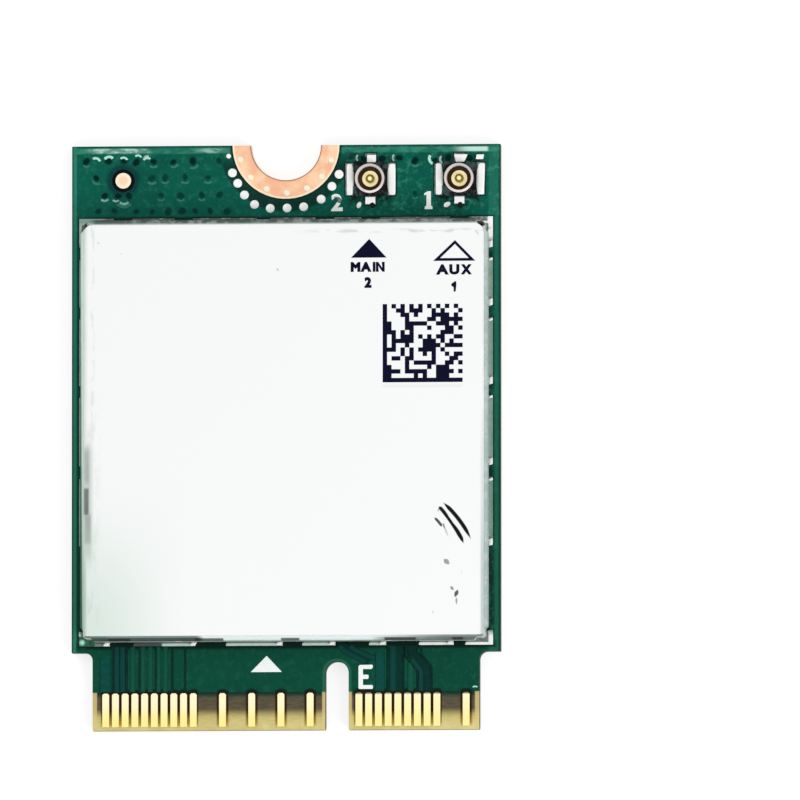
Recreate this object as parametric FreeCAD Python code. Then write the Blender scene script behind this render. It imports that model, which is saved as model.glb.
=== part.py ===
import FreeCAD, Part
import math
import os

# Wireless card for a notebook's small edge-connector slot, in millimetres.
# +X runs to the right seen from above, +Y from the edge connector to the screw notch,
# +Z up out of the component side. The origin is under the middle of the card.

Vector = FreeCAD.Vector

# Board outline
card_width = 22.0
card_length = 30.0
board_thickness = 0.80
tab_width = 19.85
tab_length = 4.0
tab_root_radius = 0.42
key_offset = 2.625
key_width = 1.20
key_depth = 3.50
edge_bevel_length = 0.15
edge_bevel_depth = 0.12

# Solder mask windows and the plated metal that lies in them
mask_depth = 0.05
mask_clearance = 0.05
pad_thickness = 0.04

# Edge contacts, numbered across both faces, odd above and even below
contact_pitch = 0.50
last_contact = 75
contact_width = 0.35
contact_start = 0.18
contact_length = 1.72
contact_corner_cut = 0.08
contact_window_margin = 0.05
contacts_above = [*range(57, 76, 2), 51, 45, 39, 33, *range(7, 24, 2), 1]
contacts_below = [*range(2, 24, 2), *range(32, 75, 2)]

# Screw notch with its plated land, and tinned dots round it as (angle, radius) about its middle
notch_radius = 1.80
notch_plating = 0.05
notch_land_radius = 2.75
ground_dot_radius = 0.23
ground_dot_height = 0.03
ground_dot_polar_places = (
    (207, 3.09), (218, 3.15), (230, 3.32), (242, 3.44), (256, 3.34),
    (271, 3.23), (286, 3.30), (303, 3.32), (318, 3.18), (331, 3.12),
)

# Fiducial mark
fiducial_side_inset = 2.63
fiducial_inset = 1.77
fiducial_radius = 0.40
fiducial_window_radius = 0.60

# Coaxial ports
main_port_land_gap = 0.34
aux_port_side_inset = 2.08
port_inset = 1.77
port_ring_radius = 0.77
port_ring_wall = 0.15
port_height = 0.60
port_groove_depth = 0.04
port_groove_height = 0.14
port_lip_height = 0.12
port_base_side = 1.76
port_base_thickness = 0.15
port_base_corner_cut = 0.18
port_fit = 0.02
port_strip = 0.12
port_wing_gap = 0.035
port_wing_width = 0.34
port_wing_length = 1.60
port_bridge_width = 0.70
port_tab_width = 0.50
port_tab_length = 0.37
port_land_margin = 0.04
port_flange_radius = 0.41
port_flange_thickness = 0.05
port_stem_radius = 0.20
port_pin_radius = 0.22
port_pin_tip_radius = 0.10
port_pin_height = 0.30

# Shield can: a fence soldered to the board and a cover clipped over it
cover_side_margin = 0.55
cover_back_margin = 3.90
cover_front_margin = 4.50
can_height = 1.40
sheet = 0.12
cover_clearance = 0.02
cover_inner_bend = 0.05
cover_corner_cut = 0.72
skirt_gap = 0.45
fence_inner_corner = 0.08
fence_edge_cut = 0.08
fence_flange = 0.45
fence_flange_relief = 0.60
foot_window_height = 0.35
snap_places = (-5.4, 5.4)
snap_drop = 0.55
snap_radius = 0.20
snap_tip_radius = 0.12
snap_reach = 0.08
snap_hole_clearance = 0.05

# Windows in the lower edge of the fence, as stretches along each side
south_windows = (
    (-9.01, -7.86), (-4.62, -3.10), (-0.13, 0.82), (2.58, 4.24), (5.18, 6.80), (8.64, 9.18),
)
north_windows = (
    (-8.83, -7.93), (-5.70, -4.83), (-1.46, -0.82), (1.55, 2.45), (3.90, 4.80), (8.45, 9.35),
)
side_windows = (
    (9.22, 9.78), (6.14, 6.70), (2.13, 2.65), (-2.05, -1.46), (-9.89, -5.57),
)
windows = {
    "south": south_windows,
    "north": north_windows,
    "east": side_windows,
    "west": side_windows,
}

# Solder lands under the fence and the fillets that hold it
land_inside = 0.10
land_outside = 0.32
land_end_gap = 0.03
fillet_reach = 0.27
fillet_height = 0.24
fillet_crest = 0.03
fillet_end_slope = 0.22

# Label on the cover
label_side_margin = 0.18
label_end_margin = 0.26
label_thickness = 0.08
label_corner_radius = 0.56

# Radio parts under the can: the radio chip is placed from the can's middle, the rest from its walls
radio_x = -1.2
radio_y = -2.8
radio_side = 8.0
radio_height = 0.85
radio_pad_side = 5.4
radio_leads_per_side = 12
radio_lead_pitch = 0.50
lead_width = 0.25
lead_length = 0.40
lead_thickness = 0.05
chip_edge_cut = 0.08

front_end_side_gap = 0.70
front_end_back_gap = 3.50
front_end_spacing = 3.90
front_end_side = 3.0
front_end_height = 0.70
front_end_pads_per_side = 4
front_end_pad_pitch = 0.60

memory_side_gap = 2.20
memory_front_gap = 3.70
memory_width = 2.0
memory_length = 3.0
memory_height = 0.50
memory_leads_per_side = 4
memory_lead_pitch = 0.60

crystal_side_gap = 2.40
crystal_back_gap = 5.00
crystal_width = 2.0
crystal_length = 1.6
crystal_case_height = 0.36
crystal_lid_height = 0.10
crystal_lid_inset = 0.12
crystal_pad_width = 0.55
crystal_pad_length = 0.45

inductor_side_gap = 1.80
inductor_front_gap = 3.20
inductor_pitch = 2.60
inductor_length = 2.0
inductor_width = 1.6
inductor_height = 0.90
inductor_cap = 0.45

back_row_x = -4.4
back_row_y = 2.9
back_row_pitch = 0.95
back_row_count = 8
side_row_gap = 0.95
side_row_y = -1.6
side_row_pitch = 1.1
side_row_count = 5
capacitor_length = 1.0
capacitor_width = 0.5
capacitor_height = 0.5
capacitor_cap = 0.25

filter_back_gap = 1.30
filter_length = 1.6
filter_width = 0.8
filter_height = 0.6
filter_cap = 0.30
body_shrink = 0.02

# Heights closer than this are the same level
level_tolerance = 1e-6

# Places that follow from the sizes above
edge_y = -card_length / 2
shoulder_y = edge_y + tab_length
back_y = card_length / 2
board_top = board_thickness
upper_floor = board_thickness - mask_depth
lower_floor = mask_depth
fiducial_x = fiducial_side_inset - card_width / 2
fiducial_y = back_y - fiducial_inset
port_wing_inner = port_base_side / 2 + port_wing_gap
port_wing_outer = port_wing_inner + port_wing_width
port_places = {
    "main_port": notch_land_radius + main_port_land_gap + port_wing_outer,
    "aux_port": card_width / 2 - aux_port_side_inset,
}
port_y = back_y - port_inset
port_seat = board_top + port_base_thickness
port_inner_radius = port_ring_radius - port_ring_wall
shield_y = (cover_front_margin - cover_back_margin) / 2
cover_width = card_width - 2 * cover_side_margin
cover_length = card_length - cover_front_margin - cover_back_margin
cover_top = board_top + can_height
fence_top = cover_top - sheet
skirt_bottom = board_top + skirt_gap
snap_z = cover_top - snap_drop
fence_half_x = cover_width / 2 - sheet - cover_clearance
fence_half_y = cover_length / 2 - sheet - cover_clearance
inside_x = fence_half_x - sheet
inside_y = fence_half_y - sheet
front_end_y = inside_y - front_end_back_gap - front_end_side / 2
front_end_aux_x = inside_x - front_end_side_gap - front_end_side / 2
front_end_places = {
    "front_end_main": front_end_aux_x - front_end_spacing,
    "front_end_aux": front_end_aux_x,
}
memory_x = inside_x - memory_side_gap - memory_width / 2
memory_y = memory_front_gap + memory_length / 2 - inside_y
crystal_x = crystal_side_gap + crystal_width / 2 - inside_x
crystal_y = inside_y - crystal_back_gap - crystal_length / 2
inductor_x = inductor_side_gap + inductor_width / 2 - inside_x
inductor_y = inductor_front_gap + inductor_length / 2 - inside_y
inductor_places = ((inductor_x, inductor_y), (inductor_x, inductor_y + inductor_pitch))
side_row_x = inside_x - side_row_gap - capacitor_width / 2
capacitor_places = (
    *((back_row_x + step * back_row_pitch, back_row_y) for step in range(back_row_count)),
    *((side_row_x - step * side_row_pitch, side_row_y) for step in range(side_row_count)),
)
filter_y = inside_y - filter_back_gap - filter_length / 2
filter_places = [(x, filter_y) for x in port_places.values()]
fence_reach = {
    "south": fence_half_y,
    "north": fence_half_y,
    "east": fence_half_x,
    "west": fence_half_x,
}


def box(x_range, y_range, z_range):
    low = Vector(x_range[0], y_range[0], z_range[0])
    high = Vector(x_range[1], y_range[1], z_range[1])
    size = high - low
    return Part.makeBox(size.x, size.y, size.z, low)


def centred_box(x, y, width, length, bottom, height):
    return box(
        (x - width / 2, x + width / 2),
        (y - length / 2, y + length / 2),
        (bottom, bottom + height),
    )


def disc(x, y, radius, bottom, height):
    return Part.makeCylinder(radius, height, Vector(x, y, bottom))


def rounded_outline(corners, radii):
    """Flat face through the corners, each rounded by its radius or left sharp at zero."""
    ends = []
    for index, corner in enumerate(corners):
        before = (corners[index - 1] - corner).normalize()
        after = (corners[(index + 1) % len(corners)] - corner).normalize()
        radius = radii[index]
        half_angle = before.getAngle(after) / 2
        reach = radius / math.tan(half_angle)
        middle = (before + after).normalize() * (radius / math.sin(half_angle) - radius)
        ends.append((corner + before * reach, corner + middle, corner + after * reach))
    edges = []
    for index, (start, middle, finish) in enumerate(ends):
        if radii[index] > 0:
            edges.append(Part.Arc(start, middle, finish).toShape())
        edges.append(Part.LineSegment(finish, ends[(index + 1) % len(ends)][0]).toShape())
    return Part.Face(Part.Wire(edges))


def rounded_plate(x, y, width, length, radius, bottom, height):
    signs = ((1, 1), (-1, 1), (-1, -1), (1, -1))
    corners = [Vector(x + a * width / 2, y + b * length / 2, bottom) for a, b in signs]
    return rounded_outline(corners, [radius] * len(corners)).extrude(Vector(0, 0, height))


def revolved(profile, x, y, angle=360):
    """Solid of revolution about an upright axis from (radius, height) points."""
    points = [Vector(radius, 0, height) for radius, height in profile]
    face = Part.Face(Part.makePolygon(points + points[:1]))
    solid = face.revolve(Vector(0, 0, 0), Vector(0, 0, 1), angle)
    solid.translate(Vector(x, y, 0))
    return solid


def top_edges(solid, height):
    def level(edge):
        return all(abs(point.Z - height) < level_tolerance for point in edge.Vertexes)

    return [edge for edge in solid.Edges if level(edge)]


def tapered_block(base, crest):
    """Solid between two four-cornered rings whose matching edges are parallel."""
    rings = [base, crest]
    for index in range(len(base)):
        after = (index + 1) % len(base)
        rings.append([base[index], base[after], crest[after], crest[index]])
    faces = [Part.Face(Part.makePolygon(ring + ring[:1])) for ring in rings]
    solid = Part.Solid(Part.Shell(faces))
    if solid.Volume < 0:
        solid.reverse()
    return solid


def save(node, solids):
    shape = solids if isinstance(solids, Part.Shape) else Part.makeCompound(list(solids))
    shape.exportStep(f"parts/{node}.step")


# Edge contacts

def contact_x(number):
    return ((last_contact - 1) / 4 - (number - 1) / 2) * contact_pitch


def edge_contact(number, bottom):
    x = contact_x(number)
    left = x - contact_width / 2
    right = x + contact_width / 2
    near = edge_y + contact_start
    far = near + contact_length
    cut = contact_corner_cut
    outline = [
        Vector(left, near, bottom),
        Vector(right, near, bottom),
        Vector(right, far - cut, bottom),
        Vector(right - cut, far, bottom),
        Vector(left + cut, far, bottom),
        Vector(left, far - cut, bottom),
    ]
    return rounded_outline(outline, [0] * len(outline)).extrude(Vector(0, 0, pad_thickness))


def contact_windows():
    window_length = contact_start + contact_length + contact_window_margin
    across = (-card_width / 2, card_width / 2)
    along = (edge_y - mask_clearance, edge_y + window_length)
    return [
        box(across, along, (upper_floor, board_top + mask_depth)),
        box(across, along, (-mask_depth, lower_floor)),
    ]


# Marks and lands in the solder mask

def ground_dot_places():
    for angle, ring_radius in ground_dot_polar_places:
        turn = math.radians(angle)
        yield ring_radius * math.cos(turn), back_y + ring_radius * math.sin(turn)


def mark_windows():
    depth = 2 * mask_depth
    land_window = notch_land_radius + mask_clearance
    return [
        disc(fiducial_x, fiducial_y, fiducial_window_radius, upper_floor, depth),
        disc(0, back_y, land_window, upper_floor, depth),
        disc(0, back_y, land_window, -mask_depth, depth),
    ]


def back_screw_land():
    lower = lower_floor - pad_thickness
    upper = upper_floor + pad_thickness
    barrel = notch_radius + notch_plating
    profile = [
        (notch_radius, lower),
        (notch_land_radius, lower),
        (notch_land_radius, lower_floor),
        (barrel, lower_floor),
        (barrel, upper_floor),
        (notch_land_radius, upper_floor),
        (notch_land_radius, upper),
        (notch_radius, upper),
    ]
    return revolved(profile, 0, back_y, -180)


# Sides of the shield can

def side_point(side, along, outward, z):
    if side == "south":
        return Vector(along, shield_y - outward, z)
    if side == "north":
        return Vector(along, shield_y + outward, z)
    if side == "east":
        return Vector(outward, along, z)
    return Vector(-outward, along, z)


def side_box(side, along, outward, z_range):
    first = side_point(side, along[0], outward[0], z_range[0])
    second = side_point(side, along[1], outward[1], z_range[1])
    return box(sorted((first.x, second.x)), sorted((first.y, second.y)), z_range)


def side_limits(side):
    """First and last place along a side where its fence wall is straight."""
    corner = fence_inner_corner + sheet
    if side in ("south", "north"):
        return corner - fence_half_x, fence_half_x - corner
    return shield_y + corner - fence_half_y, shield_y + fence_half_y - corner


def side_windows_in_reach(side):
    first, last = side_limits(side)
    return sorted(gap for gap in windows[side] if gap[0] > first and gap[1] < last)


def side_feet(side):
    """Stretches of a side that stand on the board, between its windows."""
    first, last = side_limits(side)
    ends = [first]
    for gap in side_windows_in_reach(side):
        ends.extend(gap)
    ends.append(last)
    return list(zip(ends[0::2], ends[1::2]))


def foot_lands(margin):
    """Land of every foot, grown by a margin, with the lands of a corner meeting."""
    found = []
    for side in windows:
        first, last = side_limits(side)
        outer = fence_reach[side] + land_outside
        wrap = fence_inner_corner + sheet + land_outside
        for start, end in side_feet(side):
            start_edge = start - wrap if start == first else start + land_end_gap
            end_edge = end + wrap if end == last else end - land_end_gap
            inner = fence_reach[side] - sheet - land_inside
            found.append(side_box(
                side,
                (start_edge - margin, end_edge + margin),
                (inner - margin, outer + margin),
                (upper_floor, board_top + margin),
            ))
    return found


def shield_lands():
    lands = foot_lands(0)
    return lands[0].multiFuse(lands[1:]).removeSplitter()


def solder_fillet(side, start, end):
    """Fillet along a foot's outer face, sloping down outwards and at both ends."""
    wall = fence_reach[side]
    slope = min(fillet_end_slope, (end - start) / 3)

    def ring(first, last, reach, z):
        corners = [(first, wall), (last, wall), (last, wall + reach), (first, wall + reach)]
        return [side_point(side, along, outward, z) for along, outward in corners]

    base = ring(start, end, fillet_reach, board_top)
    crest = ring(start + slope, end - slope, fillet_crest, board_top + fillet_height)
    return tapered_block(base, crest)


def shield_solder():
    return [
        solder_fillet(side, start + land_end_gap, end - land_end_gap)
        for side in windows
        for start, end in side_feet(side)
    ]


def snap_axes():
    """Foot of each snap on the fence's outer face, with its outward direction."""
    for side in windows:
        middle = 0 if side in ("south", "north") else shield_y
        outward = side_point(side, 0, 1, 0) - side_point(side, 0, 0, 0)
        for place in snap_places:
            yield side_point(side, middle + place, fence_reach[side], snap_z), outward


def shield_fence():
    width = 2 * fence_half_x
    length = 2 * fence_half_y
    corner = fence_inner_corner + sheet
    height = fence_top - board_top
    fence = rounded_plate(0, shield_y, width, length, corner, board_top, height)
    fence = fence.makeChamfer(fence_edge_cut, top_edges(fence, fence_top))
    hollow_width = width - 2 * sheet
    hollow_length = length - 2 * sheet
    hollow_height = height - sheet
    cuts = [rounded_plate(
        0, shield_y, hollow_width, hollow_length, fence_inner_corner, board_top, hollow_height,
    )]
    cuts.append(centred_box(
        0, shield_y, hollow_width - 2 * fence_flange, hollow_length - 2 * fence_flange,
        board_top, can_height,
    ))
    for x_sign in (-1, 1):
        for y_sign in (-1, 1):
            cuts.append(centred_box(
                x_sign * (hollow_width - fence_flange_relief) / 2,
                shield_y + y_sign * (hollow_length - fence_flange_relief) / 2,
                fence_flange_relief, fence_flange_relief, board_top, can_height,
            ))
    for side in windows:
        wall = (fence_reach[side] - 2 * sheet, fence_reach[side] + sheet)
        for gap in side_windows_in_reach(side):
            cuts.append(side_box(side, gap, wall, (board_top, board_top + foot_window_height)))
    fence = fence.cut(cuts)
    snaps = [
        Part.makeCone(snap_radius, snap_tip_radius, snap_reach, seat, outward)
        for seat, outward in snap_axes()
    ]
    return fence.multiFuse(snaps)


def shield_cover():
    height = cover_top - skirt_bottom
    cover = centred_box(0, shield_y, cover_width, cover_length, skirt_bottom, height)
    cover = cover.makeFillet(cover_inner_bend + sheet, top_edges(cover, cover_top))
    hollow = centred_box(
        0, shield_y, cover_width - 2 * sheet, cover_length - 2 * sheet, skirt_bottom, height - sheet,
    )
    hollow = hollow.makeFillet(cover_inner_bend, top_edges(hollow, fence_top))
    half_x = cover_width / 2
    half_y = cover_length / 2
    corners = []
    for a, b in ((1, 1), (-1, 1), (-1, -1), (1, -1)):
        on_side = Vector(a * half_x, shield_y + b * (half_y - cover_corner_cut), skirt_bottom)
        on_end = Vector(a * (half_x - cover_corner_cut), shield_y + b * half_y, skirt_bottom)
        corners.extend((on_side, on_end) if a == b else (on_end, on_side))
    blank = rounded_outline(corners, [0] * len(corners)).extrude(Vector(0, 0, height))
    holes = [
        Part.makeCylinder(snap_radius + snap_hole_clearance, 2 * sheet, seat, outward)
        for seat, outward in snap_axes()
    ]
    return cover.cut([hollow] + holes).common(blank)


def cover_label():
    width = cover_width - 2 * label_side_margin
    length = cover_length - 2 * label_end_margin
    return rounded_plate(0, shield_y, width, length, label_corner_radius, cover_top, label_thickness)


# Coaxial ports

def port_strips(x):
    """Outlines of a port's soldered strips: two wings, a ground tab and the signal tail."""
    wing_x = port_wing_inner + port_wing_width / 2
    tab_y = port_wing_inner + port_tab_length / 2
    return {
        "left": (x - wing_x, port_y, port_wing_width, port_wing_length),
        "right": (x + wing_x, port_y, port_wing_width, port_wing_length),
        "ground": (x, port_y + tab_y, port_tab_width, port_tab_length),
        "tail": (x, port_y - tab_y, port_tab_width, port_tab_length),
    }


def port_lands(margin):
    found = []
    for x in port_places.values():
        for strip_x, strip_y, width, length in port_strips(x).values():
            grow = 2 * (port_land_margin + margin)
            found.append(centred_box(
                strip_x, strip_y, width + grow, length + grow, upper_floor, mask_depth + margin,
            ))
    return found


def port_bridges(x, clearance):
    """Necks that carry the ring on its wings and ground tab, or the notches round them."""
    inner = port_inner_radius - clearance
    outer = port_wing_inner + clearance
    half_bridge = port_bridge_width / 2 + clearance
    half_tab = port_tab_width / 2 + clearance
    bottom_to_top = (board_top, port_seat)
    across = (port_y - half_bridge, port_y + half_bridge)
    return [
        box((x - outer, x - inner), across, bottom_to_top),
        box((x + inner, x + outer), across, bottom_to_top),
        box((x - half_tab, x + half_tab), (port_y + inner, port_y + outer), bottom_to_top),
    ]


def port_shell(x):
    top = board_top + port_height
    groove_top = top - port_lip_height
    groove_bottom = groove_top - port_groove_height
    groove_middle = (groove_bottom + groove_top) / 2
    ring = revolved([
        (port_inner_radius, port_seat),
        (port_ring_radius, port_seat),
        (port_ring_radius, groove_bottom),
        (port_ring_radius - port_groove_depth, groove_middle),
        (port_ring_radius, groove_top),
        (port_ring_radius, top),
        (port_inner_radius, top),
    ], x, port_y)
    strips = port_strips(x)
    pieces = [
        centred_box(*strips[name], board_top, port_strip) for name in ("left", "right", "ground")
    ]
    well = disc(x, port_y, port_inner_radius, board_top, port_height)
    bridges = [bridge.cut(well) for bridge in port_bridges(x, 0)]
    return ring.multiFuse(bridges + pieces).removeSplitter()


def tail_slot(x, clearance):
    half_width = port_tab_width / 2 + clearance
    return box(
        (x - half_width, x + half_width),
        (port_y - port_wing_inner, port_y + port_stem_radius + clearance),
        (board_top, board_top + port_strip),
    )


def port_base(x):
    half = port_base_side / 2
    cut = port_base_corner_cut
    corners = []
    for a, b in ((1, 1), (-1, 1), (-1, -1), (1, -1)):
        on_side = Vector(x + a * half, port_y + b * (half - cut), board_top)
        on_end = Vector(x + a * (half - cut), port_y + b * half, board_top)
        corners.extend((on_side, on_end) if a == b else (on_end, on_side))
    plate = rounded_outline(corners, [0] * len(corners)).extrude(Vector(0, 0, port_base_thickness))
    slot = tail_slot(x, port_fit)
    stem_well = disc(x, port_y, port_stem_radius + port_fit, board_top, port_base_thickness)
    return plate.cut(port_bridges(x, port_fit) + [slot, stem_well])


def port_contact(x):
    flange_top = port_seat + port_flange_thickness
    pin = revolved([
        (0, board_top),
        (port_stem_radius, board_top),
        (port_stem_radius, port_seat),
        (port_flange_radius, port_seat),
        (port_flange_radius, flange_top),
        (port_pin_radius, flange_top),
        (port_pin_radius, port_seat + port_pin_height / 2),
        (port_pin_tip_radius, port_seat + port_pin_height),
        (0, port_seat + port_pin_height),
    ], x, port_y)
    strip = centred_box(*port_strips(x)["tail"], board_top, port_strip)
    return pin.multiFuse([tail_slot(x, 0), strip]).removeSplitter()


# Board

def edge_bevels():
    across = Vector(card_width, 0, 0)
    found = []
    for surface, depth in ((upper_floor, -edge_bevel_depth), (lower_floor, edge_bevel_depth)):
        corners = [
            Vector(-card_width / 2, edge_y, surface),
            Vector(-card_width / 2, edge_y + edge_bevel_length, surface),
            Vector(-card_width / 2, edge_y, surface + depth),
        ]
        found.append(Part.Face(Part.makePolygon(corners + corners[:1])).extrude(across))
    return found


def key_slot():
    round_y = edge_y + key_depth - key_width / 2
    half = key_width / 2
    straight = box(
        (key_offset - half, key_offset + half), (edge_y - half, round_y), (0, board_thickness),
    )
    return [straight, disc(key_offset, round_y, half, 0, board_thickness)]


def circuit_board():
    half_card = card_width / 2
    half_tab = tab_width / 2
    corners = [
        Vector(half_card, back_y, 0),
        Vector(-half_card, back_y, 0),
        Vector(-half_card, shoulder_y, 0),
        Vector(-half_tab, shoulder_y, 0),
        Vector(-half_tab, edge_y, 0),
        Vector(half_tab, edge_y, 0),
        Vector(half_tab, shoulder_y, 0),
        Vector(half_card, shoulder_y, 0),
    ]
    root = tab_root_radius
    radii = [0, 0, 0, root, 0, 0, root, 0]
    board = rounded_outline(corners, radii).extrude(Vector(0, 0, board_thickness))
    notch = disc(0, back_y, notch_radius + notch_plating, 0, board_thickness)
    cuts = key_slot() + [notch] + edge_bevels() + contact_windows() + mark_windows()
    cuts += port_lands(mask_clearance) + foot_lands(mask_clearance)
    return board.cut(cuts)


# Radio parts

def chip_body(x, y, width, length, height):
    bottom = board_top + lead_thickness
    body = centred_box(x, shield_y + y, width, length, bottom, height)
    return body.makeChamfer(chip_edge_cut, top_edges(body, bottom + height))


def edge_leads(x, y, width, length, per_side, pitch, sides):
    """Flat leads under a chip's edges, flush with its outline."""
    found = []
    for index in range(per_side):
        along = (index - (per_side - 1) / 2) * pitch
        for side in sides:
            if side in ("left", "right"):
                reach = (width - lead_length) / 2 * (1 if side == "right" else -1)
                place = (x + reach, shield_y + y + along, lead_length, lead_width)
            else:
                reach = (length - lead_length) / 2 * (1 if side == "back" else -1)
                place = (x + along, shield_y + y + reach, lead_width, lead_length)
            found.append(centred_box(*place, board_top, lead_thickness))
    return found


def chip_with_end_caps(places, length, width, height, cap):
    """Small two-ended parts lying along Y: their bodies and their metal end caps."""
    bodies = []
    caps = []
    for x, local_y in places:
        y = shield_y + local_y
        bodies.append(centred_box(
            x, y, width - 2 * body_shrink, length - 2 * cap,
            board_top + body_shrink, height - 2 * body_shrink,
        ))
        for sign in (-1, 1):
            cap_y = y + sign * (length - cap) / 2
            caps.append(centred_box(x, cap_y, width, cap, board_top, height))
    return bodies, caps


def crystal_pads():
    bottom = board_top
    found = []
    for x_sign in (-1, 1):
        for y_sign in (-1, 1):
            x = crystal_x + x_sign * (crystal_width - crystal_pad_width) / 2
            y = shield_y + crystal_y + y_sign * (crystal_length - crystal_pad_length) / 2
            found.append(centred_box(
                x, y, crystal_pad_width, crystal_pad_length, bottom, lead_thickness,
            ))
    return found


def save_radio_parts():
    all_sides = ("left", "right", "front", "back")
    save("radio_chip", chip_body(radio_x, radio_y, radio_side, radio_side, radio_height))
    save("radio_chip_leads", edge_leads(
        radio_x, radio_y, radio_side, radio_side, radio_leads_per_side, radio_lead_pitch, all_sides,
    ))
    save("radio_chip_ground_pad", centred_box(
        radio_x, shield_y + radio_y, radio_pad_side, radio_pad_side, board_top, lead_thickness,
    ))
    front_end_pads = []
    for node, x in front_end_places.items():
        save(node, chip_body(x, front_end_y, front_end_side, front_end_side, front_end_height))
        front_end_pads += edge_leads(
            x, front_end_y, front_end_side, front_end_side,
            front_end_pads_per_side, front_end_pad_pitch, all_sides,
        )
    save("front_end_pads", front_end_pads)
    save("memory_chip", chip_body(memory_x, memory_y, memory_width, memory_length, memory_height))
    save("memory_chip_leads", edge_leads(
        memory_x, memory_y, memory_width, memory_length,
        memory_leads_per_side, memory_lead_pitch, ("left", "right"),
    ))
    crystal_bottom = board_top + lead_thickness
    save("crystal_case", centred_box(
        crystal_x, shield_y + crystal_y, crystal_width, crystal_length,
        crystal_bottom, crystal_case_height,
    ))
    save("crystal_lid", centred_box(
        crystal_x, shield_y + crystal_y,
        crystal_width - 2 * crystal_lid_inset, crystal_length - 2 * crystal_lid_inset,
        crystal_bottom + crystal_case_height, crystal_lid_height,
    ))
    save("crystal_pads", crystal_pads())
    cores, core_ends = chip_with_end_caps(
        inductor_places, inductor_length, inductor_width, inductor_height, inductor_cap,
    )
    save("inductor_cores", cores)
    save("inductor_terminals", core_ends)
    bodies, caps = chip_with_end_caps(
        capacitor_places, capacitor_length, capacitor_width, capacitor_height, capacitor_cap,
    )
    save("capacitor_bodies", bodies)
    save("capacitor_terminals", caps)
    filters, filter_ends = chip_with_end_caps(
        filter_places, filter_length, filter_width, filter_height, filter_cap,
    )
    save("antenna_filters", filters)
    save("antenna_filter_terminals", filter_ends)


def save_board_parts():
    save("circuit_board", circuit_board())
    save("edge_contacts_top", [edge_contact(number, upper_floor) for number in contacts_above])
    below = lower_floor - pad_thickness
    save("edge_contacts_bottom", [edge_contact(number, below) for number in contacts_below])
    save("back_screw_land", back_screw_land())
    dots = [
        disc(x, y, ground_dot_radius, board_top, ground_dot_height)
        for x, y in ground_dot_places()
    ]
    save("ground_dots", dots)
    save("fiducial_dot", disc(fiducial_x, fiducial_y, fiducial_radius, upper_floor, pad_thickness))


def save_ports():
    save("port_lands", port_lands(0))
    for name, x in port_places.items():
        save(f"{name}_shell", port_shell(x))
        save(f"{name}_base", port_base(x))
        save(f"{name}_contact", port_contact(x))


def save_shield():
    save("shield_lands", shield_lands())
    save("shield_solder", shield_solder())
    save("shield_fence", shield_fence())
    save("shield_cover", shield_cover())
    save("cover_label", cover_label())


os.makedirs("parts", exist_ok=True)
save_board_parts()
save_ports()
save_shield()
save_radio_parts()
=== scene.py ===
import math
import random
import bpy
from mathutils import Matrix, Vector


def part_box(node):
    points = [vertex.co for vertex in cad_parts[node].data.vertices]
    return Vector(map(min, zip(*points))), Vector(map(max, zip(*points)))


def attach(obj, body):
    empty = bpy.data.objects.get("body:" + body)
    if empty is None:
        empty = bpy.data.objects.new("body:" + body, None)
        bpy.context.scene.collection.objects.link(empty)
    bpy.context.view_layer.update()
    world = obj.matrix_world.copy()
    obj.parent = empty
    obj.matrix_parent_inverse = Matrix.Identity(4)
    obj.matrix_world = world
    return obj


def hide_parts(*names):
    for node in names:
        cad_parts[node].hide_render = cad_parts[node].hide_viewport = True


bl_info = {
    "name": "Wireless card looks",
    "version": (1, 0, 0),
    "blender": (4, 5, 0),
    "location": "3D View > Sidebar > Card",
    "description": "Finishes, print, solder, ports and stage for the packed wireless card",
    "category": "Object",
}

import bmesh
import bpy
from bpy.props import FloatProperty, FloatVectorProperty, IntProperty, PointerProperty
from mathutils import Matrix, Vector

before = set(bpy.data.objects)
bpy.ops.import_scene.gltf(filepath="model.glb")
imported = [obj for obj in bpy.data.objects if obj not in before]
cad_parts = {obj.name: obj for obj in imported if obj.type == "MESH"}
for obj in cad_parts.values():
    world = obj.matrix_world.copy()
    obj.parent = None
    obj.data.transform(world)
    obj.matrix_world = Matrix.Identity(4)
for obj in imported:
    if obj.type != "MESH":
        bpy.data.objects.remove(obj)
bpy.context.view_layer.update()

# Lengths below are millimetres in the card's own frame; meshes are in metres.
MM = 0.001


def corners_of(node):
    """Lowest and highest corner of a CAD node."""
    return [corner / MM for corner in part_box(node)]


def middle_of(node):
    low, high = corners_of(node)
    return (low + high) / 2


BODY = "root"
CARD_SIDE, NOTCH_Y, BOARD_TOP = corners_of("circuit_board")[1]
LABEL_TOP = corners_of("cover_label")[1].z
PORTS = ("main_port", "aux_port")
PITCH = 0.5
# Upper ends of the contacts, and the key slot: its middle and where its round end starts.
CONTACT_END_Y = -13.27
KEY_X, KEY_END_Y = 2.625, -12.1
# Contacts that stand alone on the upper face.
LONE_CONTACTS = (-3.25, -1.75, -0.25, 1.25, 9.25)
# Openings between the can's feet along the front, as (from, to) across the card.
CAN_WINDOWS = ((-9.0, -7.86), (-4.55, -3.08), (-0.13, 0.82), (2.57, 4.24), (5.18, 6.78), (8.63, 9.19))
# How far raised detail and print start below their surface.
SUNK = 0.002
PRINT_SUNK = 0.001
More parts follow.
